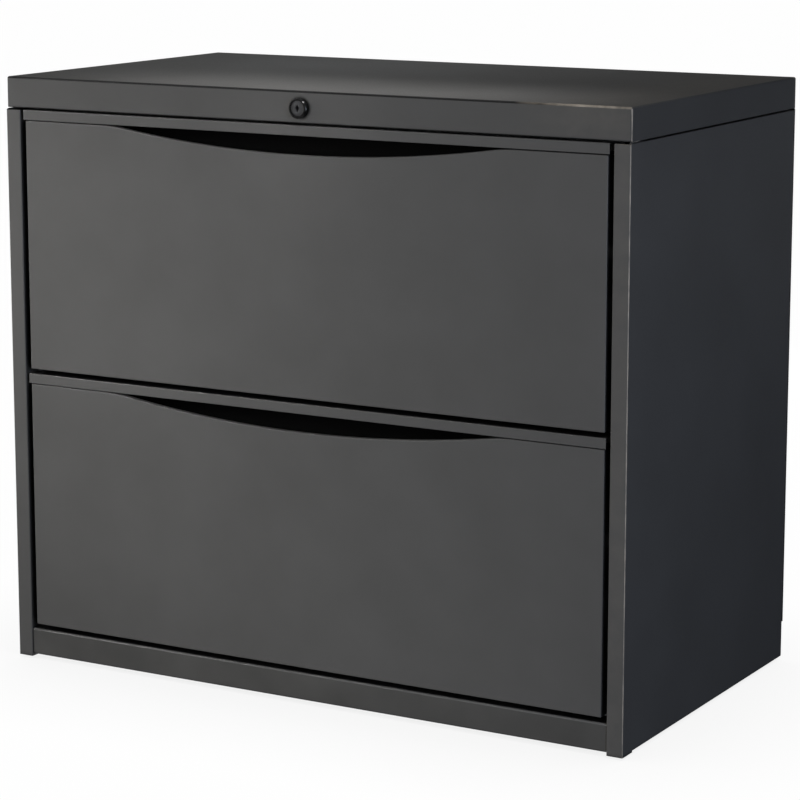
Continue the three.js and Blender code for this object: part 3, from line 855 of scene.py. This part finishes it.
@dataclass
class CaseShell:
    """The painted shell: cover, sides, back and base rails."""

    body: str = "case"
    sheet: Sheet = field(default_factory=lambda: Sheet(fold=1.1 * MM))
    cover_round: float = 2.0 * MM
    cover_lip: float = 11.0 * MM
    cover_steps: int = 6
    flange: float = 16.0 * MM
    post_width: float = 20.0 * MM
    post_return: float = 25.0 * MM
    edge_rise: float = 2.0 * MM
    top_flange: float = 27.0 * MM
    flange_front: float = 36.0 * MM
    flange_rear: float = 9.0 * MM
    step_in: float = 1.3 * MM
    step_up: float = 1.6 * MM
    back_fold: float = 1.2 * MM
    back_rise: float = 1.5 * MM
    rail_reach: float = 3.2 * MM
    rail_fold: float = 2.0 * MM

    def build(self) -> None:
        """Builds every sheet of the shell."""
        self.cover()
        for side in Side:
            self.side_panel(side)
        self.back()
        self.front_rail()
        self.rear_rail()

    def cover(self) -> None:
        """Builds the cover: a pan with rounded edges and lips turned in below."""
        low, high = corners("top_cover")
        size = high - low - Vector((1, 1, 1)) * self.sheet.thickness
        bm = bmesh.new()
        bmesh.ops.create_cube(bm, size=1.0)
        bmesh.ops.scale(bm, vec=size, verts=bm.verts)
        bmesh.ops.translate(bm, vec=(low + high) / 2, verts=bm.verts)
        folds = [
            edge for edge in bm.edges
            if any(v.co.z > low.z + self.cover_lip for v in edge.verts)
            or abs(edge.verts[0].co.x - edge.verts[1].co.x) > self.cover_lip
        ]
        bevel(bm, folds, self.cover_round, self.cover_steps)
        lips = (low.y + self.cover_lip, high.y - self.cover_lip)
        for lip in lips:
            cut(bm, Vector((0, lip, 0)), Vector((0, 1, 0)))
        opening = [
            face for face in bm.faces
            if middle(face).z < low.z + self.sheet.thickness
            and lips[0] < middle(face).y < lips[1]
        ]
        bmesh.ops.delete(bm, geom=opening, context="FACES")
        piece = put(bm, "cover_pan", SHADED_COVER_PAINT, self.body, ["top_cover"])
        self.sheet.thicken(piece)

    def side_panel(self, side: Side) -> None:
        """Builds one side, folded round at the front into its post.

        Args:
            side: The half of the cabinet.
        """
        node = f"{side.word}_side_panel"
        low, high = corners(node)
        half, sign = self.sheet.half, side.value
        wall = max(abs(low.x), abs(high.x)) - half
        inner = wall + half - self.post_width + half
        front, rear = low.y + half, high.y - half
        path = [
            (inner, low.y + self.post_return),
            (inner, front),
            (wall, front),
            (wall, rear),
            (wall - self.flange, rear),
        ]
        bm = self.sheet.strip([(sign * x, y) for x, y in path], Axis.Z, low.z, high.z - half)
        first, last = low.y + self.flange_front, high.y - self.flange_rear
        post_end = low.y + self.post_return
        for depth in (post_end, first, last):
            cut(bm, Vector((0, depth, 0)), Vector((0, 1, 0)))
        cut(bm, Vector((0, 0, low.z + self.edge_rise)), Vector((0, 0, 1)))
        short = [
            face for face in bm.faces
            if middle(face).z < low.z + self.edge_rise and middle(face).y > post_end
        ]
        bmesh.ops.delete(bm, geom=short, context="FACES")
        top = [
            edge for edge in bm.edges
            if len(edge.link_faces) == 1
            and all(abs(v.co.z - (high.z - half)) < half / 2 for v in edge.verts)
            and all(first - half < v.co.y < last + half for v in edge.verts)
            and abs(edge.verts[0].co.y - edge.verts[1].co.y) > self.flange
        ]
        grow(bm, top, Vector((-sign * self.top_flange, 0, 0)))
        ahead = [
            edge for edge in bm.edges
            if len(edge.link_faces) == 1
            and all(abs(v.co.z - (high.z - half)) < half / 2 for v in edge.verts)
            and all(abs(abs(v.co.x) - wall) < half / 2 for v in edge.verts)
            and all(v.co.y < first + half for v in edge.verts)
        ]
        for move in (Vector((-sign * self.step_in, 0, 0)), Vector((0, 0, self.step_up))):
            ahead = grow(bm, ahead, move)
        piece = put(bm, f"{side.word}_side_sheet", EDGED_PAINT, self.body, [node])
        self.sheet.thicken(piece)

    def back(self) -> None:
        """Builds the back panel with its shallow folded rim."""
        low, high = corners("back_panel")
        half = self.sheet.half
        left, right, rear = low.x + half, high.x - half, high.y - half
        path = [(left, low.y), (left, rear), (right, rear), (right, low.y)]
        sheet = Sheet(fold=self.back_fold)
        bm = sheet.strip(path, Axis.Z, low.z, high.z + self.back_rise)
        piece = put(bm, "back_sheet", PAINT, self.body, ["back_panel"])
        sheet.thicken(piece)

    def front_rail(self) -> None:
        """Builds the base rail under the lower drawer."""
        low, high = corners("base_front_rail")
        half = self.sheet.half
        face, rear, foot, top = low.y + half, high.y - half, low.z + half, high.z - half
        path = [
            (face + self.flange, foot),
            (face, foot),
            (face, top),
            (rear, top),
            (rear, top - self.flange),
        ]
        sheet = Sheet(fold=self.rail_fold)
        bm = sheet.strip(path, Axis.X, low.x, high.x)
        piece = put(bm, "front_rail_sheet", RAIL_PAINT, self.body, ["base_front_rail"])
        sheet.thicken(piece)

    def rear_rail(self) -> None:
        """Builds the base rail under the back panel."""
        low, high = corners("base_rear_rail")
        half = self.sheet.half
        face, foot, top = high.y - half, low.z + half, high.z - half
        path = [(face - self.flange, foot), (face, foot), (face, top), (low.y, top)]
        bm = self.sheet.strip(path, Axis.X, low.x - self.rail_reach, high.x + self.rail_reach)
        piece = put(bm, "rear_rail_sheet", PAINT, self.body, ["base_rear_rail"])
        self.sheet.thicken(piece)


# Drawers


@dataclass
class Drawer:
    """A drawer: its front with the arched pull, the cap over it, and the tray behind."""

    level: Level
    sheet: Sheet = field(default_factory=Sheet)
    front_sheet: Sheet = field(default_factory=lambda: Sheet(fold=0.8 * MM))
    cap_sheet: Sheet = field(
        default_factory=lambda: Sheet(thickness=0.8 * MM, fold=0.8 * MM, cut_edge=0.18 * MM),
    )
    catch_sheet: Sheet = field(default_factory=lambda: Sheet(thickness=1.6 * MM, fold=1.8 * MM))
    arch_half: float = 258.0 * MM
    arch_drop: float = 21.0 * MM
    arch_blend: float = 14.0 * MM
    arch_lip: float = 5.0 * MM
    seam: float = 1.0 * MM
    arch_steps: int = 32
    blend_steps: int = 8
    rim: float = 6.5 * MM
    fold_back: float = 16.0 * MM
    catch_low: float = 200.0 * MM
    catch_height: float = 14.0 * MM

    @property
    def body(self) -> str:
        """The body on which the drawer's pieces ride."""
        return f"{self.level.value}_drawer"

    def node(self, word: str) -> str:
        """Returns the name of one of this drawer's nodes."""
        return f"{self.level.value}_{word}"

    def box(self, word: str) -> tuple[Vector, Vector]:
        """Returns the lowest and the highest corner of one of this drawer's nodes."""
        return corners(self.node(word))

    def put(
        self, bm: BMesh, name: str, word: str, sheet: Sheet, finish: Finish = PAINT,
    ) -> None:
        """Places a sheet of the drawer over the node for which it stands.

        Args:
            bm: The sheet's middle face.
            name: What the sheet is called.
            word: The node for which it stands.
            sheet: Its thickness and edges.
            finish: Its finish.
        """
        piece = put(bm, self.node(name), finish, self.body, [self.node(word)])
        sheet.thicken(piece)

    def build(self) -> None:
        """Builds every sheet of the drawer."""
        self.front()
        self.cap()
        self.inner_front()
        self.tray()
        self.back()

    def front(self) -> None:
        """Builds the front: a pan whose top edge dips to a shallow arch and turns in as a lip."""
        low, high = self.box("drawer_front")
        half = self.front_sheet.half
        top = self.box("pull_cap")[0].z - self.seam - half
        face = low.y + half
        left, right, foot = low.x + half, high.x - half, low.z + half
        radius = (self.arch_half ** 2 + self.arch_drop ** 2) / (2 * self.arch_drop)
        centre = Vector((0, face, top - self.arch_drop + radius))
        sweep = 2 * math.asin(self.arch_half / radius)

        bm = bmesh.new()
        start = bm.verts.new((-self.arch_half, face, top))
        bmesh.ops.spin(
            bm, geom=[start], cent=centre, axis=(0, -1, 0), angle=sweep, steps=self.arch_steps,
            use_merge=False, use_duplicate=False,
        )
        end = max(bm.verts, key=lambda v: v.co.x)
        round_trip = [(right, top), (right, foot), (left, foot), (left, top)]
        chain = [end] + [bm.verts.new((x, face, z)) for x, z in round_trip] + [start]
        for pair in zip(chain, chain[1:]):
            bm.edges.new(pair)
        bmesh.ops.contextual_create(bm, geom=bm.edges[:])
        bevel(bm, [start, end], self.arch_blend, self.blend_steps, affect="VERTICES")
        rim = grow(bm, bm.edges[:], Vector((0, self.arch_lip, 0)))
        walls = [
            edge for edge in rim
            if all(v.co.z < foot + half for v in edge.verts)
            or abs(edge.verts[0].co.z - edge.verts[1].co.z) > self.arch_drop
        ]
        grow(bm, walls, Vector((0, high.y - face - self.arch_lip, 0)))
        folds = [
            edge for edge in bm.edges
            if len(edge.link_faces) == 2 and edge.calc_face_angle() > RIGHT_ANGLE / 2
        ]
        bevel(bm, folds, self.front_sheet.fold, self.front_sheet.fold_steps)
        self.put(bm, "front_pan", "drawer_front", self.front_sheet)

    def cap(self) -> None:
        """Builds the channel that spans the arch and caps the front."""
        low, high = self.box("pull_cap")
        half = self.cap_sheet.half
        face, rear, top = low.y + half, high.y - half, high.z - half
        path = [(face, low.z), (face, top), (rear, top), (rear, low.z)]
        bm = self.cap_sheet.strip(path, Axis.X, low.x, high.x)
        self.put(bm, "cap_channel", "pull_cap", self.cap_sheet)

    def inner_front(self) -> None:
        """Builds the flat sheet that closes the front from behind."""
        low, high = self.box("inner_front")
        across = (low.y + high.y) / 2
        bm = self.sheet.strip([(low.x, across), (high.x, across)], Axis.Z, low.z, high.z)
        # The sheet's front is near-black: painted shade in the recess behind the pull.
        self.put(bm, "inner_sheet", "inner_front", self.sheet, RECESS_SHADE)

    def tray(self) -> None:
        """Builds the floor and both sides in one sheet, with the catch for the lock bar."""
        low, high = self.box("tray")
        half = self.sheet.half
        floor, top = low.z + half, high.z - half
        rim = -low.x
        wall = rim - self.rim
        path = [(-rim, top), (-wall, top), (-wall, floor), (wall, floor), (wall, top), (rim, top)]
        bm = self.sheet.strip(path, Axis.Y, low.y, high.y)
        self.put(bm, "tray_sheet", "tray", self.sheet)
        foot = self.box("drawer_front")[0].z + self.catch_low
        grip = self.catch_sheet
        start = wall + half + grip.half
        front = low.y + self.sheet.thickness
        catch_path = [(start, front + self.fold_back), (start, front), (high.x, front)]
        bm = grip.strip(catch_path, Axis.Z, foot, foot + self.catch_height)
        self.put(bm, "catch", "tray", grip)

    def back(self) -> None:
        """Builds the tray's rear wall."""
        low, high = self.box("drawer_back")
        half = self.sheet.half
        left, right, rear = low.x + half, high.x - half, high.y - half
        path = [(left, low.y), (left, rear), (right, rear), (right, low.y)]
        bm = self.sheet.strip(path, Axis.Z, low.z, high.z)
        self.put(bm, "back_wall", "drawer_back", self.sheet)


@dataclass
class BallCages:
    """The ball cages of one drawer's slides: folded strips that hold polished balls."""

    level: Level
    strip_sheet: Sheet = field(
        default_factory=lambda: Sheet(thickness=0.6 * MM, fold=0.6 * MM, cut_edge=0.1 * MM),
    )
    ball_radius: float = 1.85 * MM
    balls_per_row: int = 3
    ball_offset: dict[str, float] = field(
        default_factory=lambda: {"outer": 5.7 * MM, "inner": 4.2 * MM},
    )
    ball_segments: int = 20
    ball_rings: int = 12

    def build(self) -> None:
        """Builds the cages on both sides."""
        for side in Side:
            for run in self.ball_offset:
                self.cage(side, run)

    def cage(self, side: Side, run: str) -> None:
        """Builds one cage.

        Args:
            side: The half of the cabinet.
            run: Whether it runs in the outer or the inner slide member.
        """
        node = f"{self.level.value}_{side.word}_{run}_cage"
        low, high = corners(node)
        half, sign = self.strip_sheet.half, side.value
        outward = max(abs(low.x), abs(high.x)) - half
        inward = min(abs(low.x), abs(high.x))
        centre = (low.z + high.z) / 2
        row = (high.z - low.z) / 2 - self.ball_radius
        path = [(inward, row), (outward, row), (outward, -row), (inward, -row)]
        section = [(sign * x, centre + z) for x, z in path]
        bm = self.strip_sheet.strip(section, Axis.Y, low.y, high.y)
        bmesh.ops.recalc_face_normals(bm, faces=bm.faces[:])
        bmesh.ops.solidify(bm, geom=bm.faces[:], thickness=self.strip_sheet.thickness)
        at = sign * (outward - self.ball_offset[run])
        pitch = (high.y - low.y) / self.balls_per_row
        for i in range(self.balls_per_row):
            for z in (centre - row, centre + row):
                bmesh.ops.create_uvsphere(
                    bm, u_segments=self.ball_segments, v_segments=self.ball_rings,
                    radius=self.ball_radius,
                    matrix=Matrix.Translation((at, low.y + (i + 0.5) * pitch, z)),
                )
        body = f"{self.level.value}_{run}_cages"
        put(bm, f"{self.level.value}_{side.word}_{run}_ball_cage", ZINC, body, [node])


# Lock and feet


@dataclass
class Lock:
    """The lock's bevelled bezel and its plug with a diamond keyway."""

    steps: int = 64
    bore: float = 8.0 * MM
    barrel: float = 9.4 * MM
    seat: float = 9.1 * MM
    seat_depth: float = 2.4 * MM
    bezel_cone: float = 1.5 * MM
    cone_round: float = 0.3 * MM
    cone_steps: int = 3
    bezel_edge: float = 0.15 * MM
    plug_edge: float = 0.12 * MM
    bezel_depth: float = 6.2 * MM
    plug_radius: float = 7.6 * MM
    head_radius: float = 8.9 * MM
    head_depth: float = 1.6 * MM
    ring_radius: float = 7.4 * MM
    ring_step: float = 0.35 * MM
    key_half: float = 2.4 * MM
    key_rise: float = 4.6 * MM
    key_depth: float = 10.0 * MM
    along: Vector = field(default_factory=lambda: Vector((0, 1, 0)))

    def build(self) -> None:
        """Builds the bezel and the plug."""
        self.bezel()
        self.plug()

    def bezel(self) -> None:
        """Builds the housing with its bevelled front edge."""
        low, high = corners("lock_housing")
        centre = Vector((0, low.y, (low.z + high.z) / 2))
        outer = (high.z - low.z) / 2
        length = high.y - low.y
        profile = [
            (self.bore, length),
            (self.bore, self.seat_depth),
            (self.seat, self.seat_depth),
            (self.seat, 0.0),
            (outer, 0.0),
            (outer, self.bezel_depth),
            (self.barrel, self.bezel_depth),
            (self.barrel, length),
            (self.bore, length),
        ]
        bm = turned(profile, centre, self.along, self.steps)
        rim = [
            edge for edge in bm.edges
            if all(
                abs(v.co.y - low.y) < CLOSE and abs((v.co - centre).length - outer) < CLOSE
                for v in edge.verts
            )
        ]
        cone = bevel(bm, rim, self.bezel_cone, 1)
        rings = {
            edge for face in cone for edge in face.edges
            if not all(neighbour in cone for neighbour in edge.link_faces)
        }
        bevel(bm, rings, self.cone_round, self.cone_steps)
        piece = put(bm, "lock_bezel", BLACK, "case", ["lock_housing"])
        soften(piece, self.bezel_edge)

    def plug(self) -> None:
        """Builds the plug, with a stepped face and a diamond keyway."""
        low, high = corners("lock_plug")
        centre = Vector((0, low.y, (low.z + high.z) / 2))
        length = high.y - low.y
        face_radius = self.ring_radius - self.ring_step
        profile = [
            (face_radius, 0.0),
            (self.ring_radius, self.ring_step),
            (self.head_radius - self.ring_step, self.ring_step),
            (self.head_radius, 2 * self.ring_step),
            (self.head_radius, self.head_depth),
            (self.plug_radius, self.head_depth),
            (self.plug_radius, length),
            (0.0, length),
        ]
        bm = turned(profile, centre, self.along, self.steps)
        rim = [e for e in bm.edges if all(abs(v.co.y - low.y) < CLOSE for v in e.verts)]
        half, rise = self.key_half, self.key_rise
        diamond = ((0, -rise), (half, 0), (0, rise), (-half, 0))
        points = [bm.verts.new(centre + Vector((x, 0, z))) for x, z in diamond]
        keyway = [bm.edges.new(pair) for pair in zip(points, points[1:] + points[:1])]
        bmesh.ops.bridge_loops(bm, edges=rim + keyway)
        floor = grow(bm, keyway, self.along * self.key_depth)
        bmesh.ops.contextual_create(bm, geom=floor)
        piece = put(bm, "lock_face", PLUG, "lock_core", ["lock_plug"])
        soften(piece, self.plug_edge)


@dataclass
class Feet:
    """The four leveling glides: a round foot on a threaded stem."""

    steps: int = 40
    chamfer: float = 1.0 * MM
    rim_top: float = 3.0 * MM
    slope: Point = (2.0 * MM, 4.5 * MM)
    collar: float = 6.5 * MM
    collar_rise: Point = (5.5 * MM, 10.0 * MM)
    stem: float = 4.0 * MM
    stem_foot: float = 11.0 * MM
    thread_foot: float = 12.0 * MM
    thread_pitch: float = 1.25 * MM
    thread_depth: float = 0.35 * MM
    edge: float = 0.2 * MM

    def build(self) -> None:
        """Builds every glide."""
        for side in Side:
            for end in ("front", "rear"):
                self.glide(f"{end}_{side.word}")

    def glide(self, corner: str) -> None:
        """Builds one glide.

        Args:
            corner: The corner of the base where it stands.
        """
        node = f"{corner}_glide"
        low, high = corners(node)
        centre = Vector(((low.x + high.x) / 2, (low.y + high.y) / 2, low.z))
        foot, length = (high.x - low.x) / 2, high.z - low.z
        profile = [
            (0.0, 0.0),
            (foot - self.chamfer, 0.0),
            (foot, self.chamfer),
            (foot, self.rim_top),
            (foot - self.slope[0], self.slope[1]),
            (self.collar, self.collar_rise[0]),
            (self.collar, self.collar_rise[1]),
            (self.stem, self.stem_foot),
        ]
        height = self.thread_foot
        while height < length - self.thread_pitch:
            profile.append((self.stem - self.thread_depth, height))
            profile.append((self.stem, height + self.thread_pitch / 2))
            height += self.thread_pitch
        profile += [(self.stem - self.chamfer, length), (0.0, length)]
        bm = turned(profile, centre, Vector((0, 0, 1)), self.steps)
        piece = put(bm, f"{corner}_foot_turning", FOOT, f"{corner}_foot", [node])
        soften(piece, self.edge)


# Frame nodes that are shown as they are


@dataclass
class CarriedNodes:
    """The frame's nodes whose shape stays, which get their finish here."""

    slot_of: dict[str, str] = field(
        default_factory=lambda: {
            part["node"]: part["material_slot"] for part in frame["record"]["subparts"]
        },
    )

    def dress(self) -> None:
        """Gives every node the finish of its slot."""
        for name, piece in frame["nodes"].items():
            finish = FINISH_OF_SLOT[self.slot_of[name]]
            if not piece.material_slots:
                piece.data.materials.append(None)
            for slot in piece.material_slots:
                slot.material = finish.material()
            LOG.info("%s is finished as %s", name, finish.slot)


# Studio


WARM = (1.03, 1.0, 0.95)
AMBER = (1.08, 1.0, 0.88)
COOL = (0.84, 0.96, 1.2)
SKY = (0.95, 1.0, 1.05)


@dataclass(frozen=True)
class SoftBox:
    """A rectangular lamp that looks at a point of the cabinet."""

    name: str
    place: Triple
    target: Triple
    size: Pair
    watts: float
    colour: Triple = (1.0, 1.0, 1.0)
    spread: float = 180.0
    roll: float = 0.0

    def light(self) -> None:
        """Adds the lamp to the scene."""
        lamp = bpy.data.lights.new(self.name, "AREA")
        lamp.shape = "RECTANGLE"
        lamp.size, lamp.size_y = self.size
        lamp.energy = self.watts
        lamp.color = self.colour
        lamp.spread = math.radians(self.spread)
        stand = show(self.name, lamp)
        stand.location = self.place
        aim = Vector(self.target) - Vector(self.place)
        roll = Quaternion((0.0, 0.0, 1.0), math.radians(self.roll))
        stand.rotation_euler = (aim.to_track_quat("-Z", "Y") @ roll).to_euler()


@dataclass(frozen=True)
class Card:
    """A grey card out of sight, which keeps the white surround off the paint."""

    name: str
    place: Triple
    target: Triple
    size: Pair
    tone: float

    def stand(self) -> None:
        """Sets up the card."""
        bm = bmesh.new()
        bmesh.ops.create_grid(bm, x_segments=1, y_segments=1, size=0.5)
        bmesh.ops.scale(bm, vec=(*self.size, 1.0), verts=bm.verts)
        aim = Vector(self.target) - Vector(self.place)
        turn = aim.to_track_quat("-Z", "Y").to_matrix().to_4x4()
        bmesh.ops.transform(bm, matrix=Matrix.Translation(self.place) @ turn, verts=bm.verts)
        felt = Nodes.start(self.name)
        felt.shader.inputs["Base Color"].default_value = (*[self.tone] * 3, 1.0)
        felt.shine(specular=0.0)
        card = place(bm, self.name, felt.material)
        card.visible_camera = False
        card.visible_shadow = False


@dataclass
class Studio:
    """A pale floor, a white surround, soft boxes, cards and the camera."""

    camera_at: Triple = (1.67063, -2.91612, 0.98424)
    camera_turn: float = 29.796
    camera_dip: float = 10.155
    lens: float = 127.319
    sensor: float = 36.0
    shift: float = -0.06
    floor_half: float = 30.0
    floor_tone: float = 0.8
    floor_bounce: float = 0.3
    floor_glow: float = 0.99
    floor_roughness: float = 0.9
    shade: float = 0.15
    shade_reach: float = 0.25
    footprint: Pair = (0.4, 0.211)
    footprint_at: Triple = (0.0, 0.011, 0.0)
    ambient: Triple = (0.09, 0.093, 0.098)
    boxes: tuple[SoftBox, ...] = (
        SoftBox("key_box", (-2.553, -0.929, 1.077), (0.0, 0.0, 0.4), (1.2, 1.2), 20.5, WARM),
        SoftBox("fill_box", (0.703, -2.624, 1.077), (0.0, 0.0, 0.4), (1.2, 1.2), 6.2, AMBER),
        SoftBox(
            "beam_box", (-1.728, -1.728, 1.289), (-0.37, -0.2, 0.44), (0.5, 0.5), 0.78, spread=24.0,
        ),
        SoftBox(
            "near_box", (-0.564, -1.55, 0.811), (-0.2, -0.2, 0.5), (0.6, 0.6), 0.35, spread=60.0,
        ),
        SoftBox(
            "edge_strip", (0.02, -0.12, 2.1), (0.02, -0.2, 0.7), (0.55, 0.1), 0.54, spread=16.0,
        ),
        SoftBox(
            "glint_strip", (0.2406, -0.4823, 1.1163), (0.0, -0.232, 0.69), (0.031, 0.16), 0.017,
            spread=16.0, roll=27.4,
        ),
        SoftBox(
            "top_box", (-0.19, 0.16, 2.2), (-0.19, 0.14, 0.7), (0.55, 0.45), 0.54, SKY, spread=30.0,
        ),
        SoftBox("back_box", (0.0, 2.3, 0.36), (0.0, 0.2, 0.36), (1.0, 0.5), 14.0),
        SoftBox("corner_strip", (2.4, -1.6, 0.6), (0.4, -0.2, 0.4), (0.06, 1.6), 25.0, COOL),
    )
    cards: tuple[Card, ...] = (
        Card("right_card", (1.3, 1.0, 0.9), (0.0, 1.0, 0.9), (2.8, 1.8), 0.05),
        Card("ground_card", (0.8545, 0.7, 0.003), (0.8545, 0.7, 1.0), (0.891, 3.4), 0.05),
        Card("rear_card", (-1.0, 1.8, 1.6), (-1.0, 0.0, 1.6), (4.6, 3.2), 0.1),
    )

    def build(self) -> None:
        """Sets up the camera, the floor, the surround, the lamps and the cards."""
        self.camera()
        self.floor()
        self.surround()
        for box in self.boxes:
            box.light()
        for card in self.cards:
            card.stand()
        bpy.context.scene.view_settings.view_transform = "Standard"

    def camera(self) -> None:
        """Sets the camera at the photograph's viewing angle."""
        lens = bpy.data.cameras.new("camera")
        lens.lens = self.lens
        lens.sensor_width = self.sensor
        lens.sensor_fit = "HORIZONTAL"
        lens.shift_y = self.shift
        camera = show("camera", lens)
        camera.location = self.camera_at
        level = RIGHT_ANGLE - math.radians(self.camera_dip)
        camera.rotation_euler = (level, 0.0, math.radians(self.camera_turn))
        bpy.context.scene.camera = camera

    @staticmethod
    def seen(tree: bpy.types.NodeTree) -> Socket:
        """Adds a switch that is on for rays that show the background, mirrored or not.

        Args:
            tree: The node tree.

        Returns:
            The switch's output.
        """
        path = tree.nodes.new("ShaderNodeLightPath")
        result = path.outputs["Is Camera Ray"]
        for word in ("Is Glossy Ray", "Is Transmission Ray"):
            either = tree.nodes.new("ShaderNodeMath")
            either.operation = "MAXIMUM"
            tree.links.new(result, either.inputs[0])
            tree.links.new(path.outputs[word], either.inputs[1])
            result = either.outputs[0]
        return result

    def beyond_case(self, paper: Nodes) -> Socket:
        """Adds a mask of the floor outside the case, which is dark inside.

        Args:
            paper: The floor's material.

        Returns:
            The mask's output.
        """
        parts = paper.add("ShaderNodeSeparateXYZ")
        spot = paper.add("ShaderNodeVectorMath", operation="SUBTRACT")
        spot.inputs[1].default_value = self.footprint_at
        paper.link(paper.add("ShaderNodeTexCoord").outputs["Object"], spot.inputs[0])
        paper.link(spot.outputs["Vector"], parts.inputs["Vector"])
        either = paper.add("ShaderNodeMath", operation="MAXIMUM")
        for axis, reach, target in zip("XY", self.footprint, either.inputs):
            size = paper.add("ShaderNodeMath", operation="ABSOLUTE")
            paper.link(parts.outputs[axis], size.inputs[0])
            past = paper.add("ShaderNodeMath", operation="GREATER_THAN")
            past.inputs[1].default_value = reach
            paper.link(size.outputs[0], past.inputs[0])
            paper.link(past.outputs[0], target)
        return either.outputs[0]

    def floor(self) -> None:
        """Lays the floor."""
        bm = bmesh.new()
        bmesh.ops.create_grid(bm, x_segments=1, y_segments=1, size=self.floor_half)
        place(bm, "floor", self.paper())

    def paper(self) -> bpy.types.Material:
        """Makes the floor's paper, which shows white and keeps a faint shadow of the cabinet.

        Returns:
            The material.
        """
        paper = Nodes.start("FloorPaper")
        tree = paper.material.node_tree
        path = paper.add("ShaderNodeLightPath")
        colours, mixed = paper.blend(path.outputs["Is Diffuse Ray"])
        for socket, tone in zip(colours, (self.floor_tone, self.floor_bounce)):
            socket.default_value = (tone, tone, tone, 1.0)
        paper.link(mixed, paper.shader.inputs["Base Color"])
        paper.shader.inputs["Roughness"].default_value = self.floor_roughness
        paper.shine(specular=0.0)
        glow = paper.add("ShaderNodeEmission")
        near = paper.add(
            "ShaderNodeAmbientOcclusion", samples=MASK_RAYS, Distance=self.shade_reach,
        )
        shade = paper.add("ShaderNodeMapRange", To_Min=1.0 - self.shade, To_Max=1.0)
        paper.link(near.outputs["AO"], shade.inputs["Value"])
        paper.link(shade.outputs["Result"], glow.inputs["Strength"])
        share = paper.add("ShaderNodeMath", operation="MULTIPLY")
        share.inputs[1].default_value = self.floor_glow
        paper.link(paper.product(self.seen(tree), self.beyond_case(paper)), share.inputs[0])
        mix = paper.add("ShaderNodeMixShader")
        paper.link(share.outputs[0], mix.inputs["Fac"])
        paper.link(paper.shader.outputs["BSDF"], mix.inputs[1])
        paper.link(glow.outputs["Emission"], mix.inputs[2])
        paper.link(mix.outputs["Shader"], tree.nodes["Material Output"].inputs["Surface"])
        return paper.material

    def surround(self) -> None:
        """Makes the surround white to look at and dim as a light."""
        world = bpy.data.worlds.new("surround")
        world.use_nodes = True
        bpy.context.scene.world = world
        tree = world.node_tree
        nodes, links = tree.nodes, tree.links
        dim = nodes["Background"]
        dim.inputs["Color"].default_value = (*self.ambient, 1.0)
        white = nodes.new("ShaderNodeBackground")
        white.inputs["Color"].default_value = (1.0, 1.0, 1.0, 1.0)
        mix = nodes.new("ShaderNodeMixShader")
        links.new(self.seen(tree), mix.inputs["Fac"])
        links.new(dim.outputs["Background"], mix.inputs[1])
        links.new(white.outputs["Background"], mix.inputs[2])
        links.new(mix.outputs["Shader"], nodes["World Output"].inputs["Surface"])


def main() -> None:
    """Builds the cabinet piece by piece and sets up the studio."""
    logging.basicConfig(level=logging.INFO, format="%(name)s: %(message)s")
    CarriedNodes().dress()
    CaseShell().build()
    for level in Level:
        Drawer(level).build()
        BallCages(level).build()
    Lock().build()
    Feet().build()
    Studio().build()


if __name__ == "__main__":
    main()
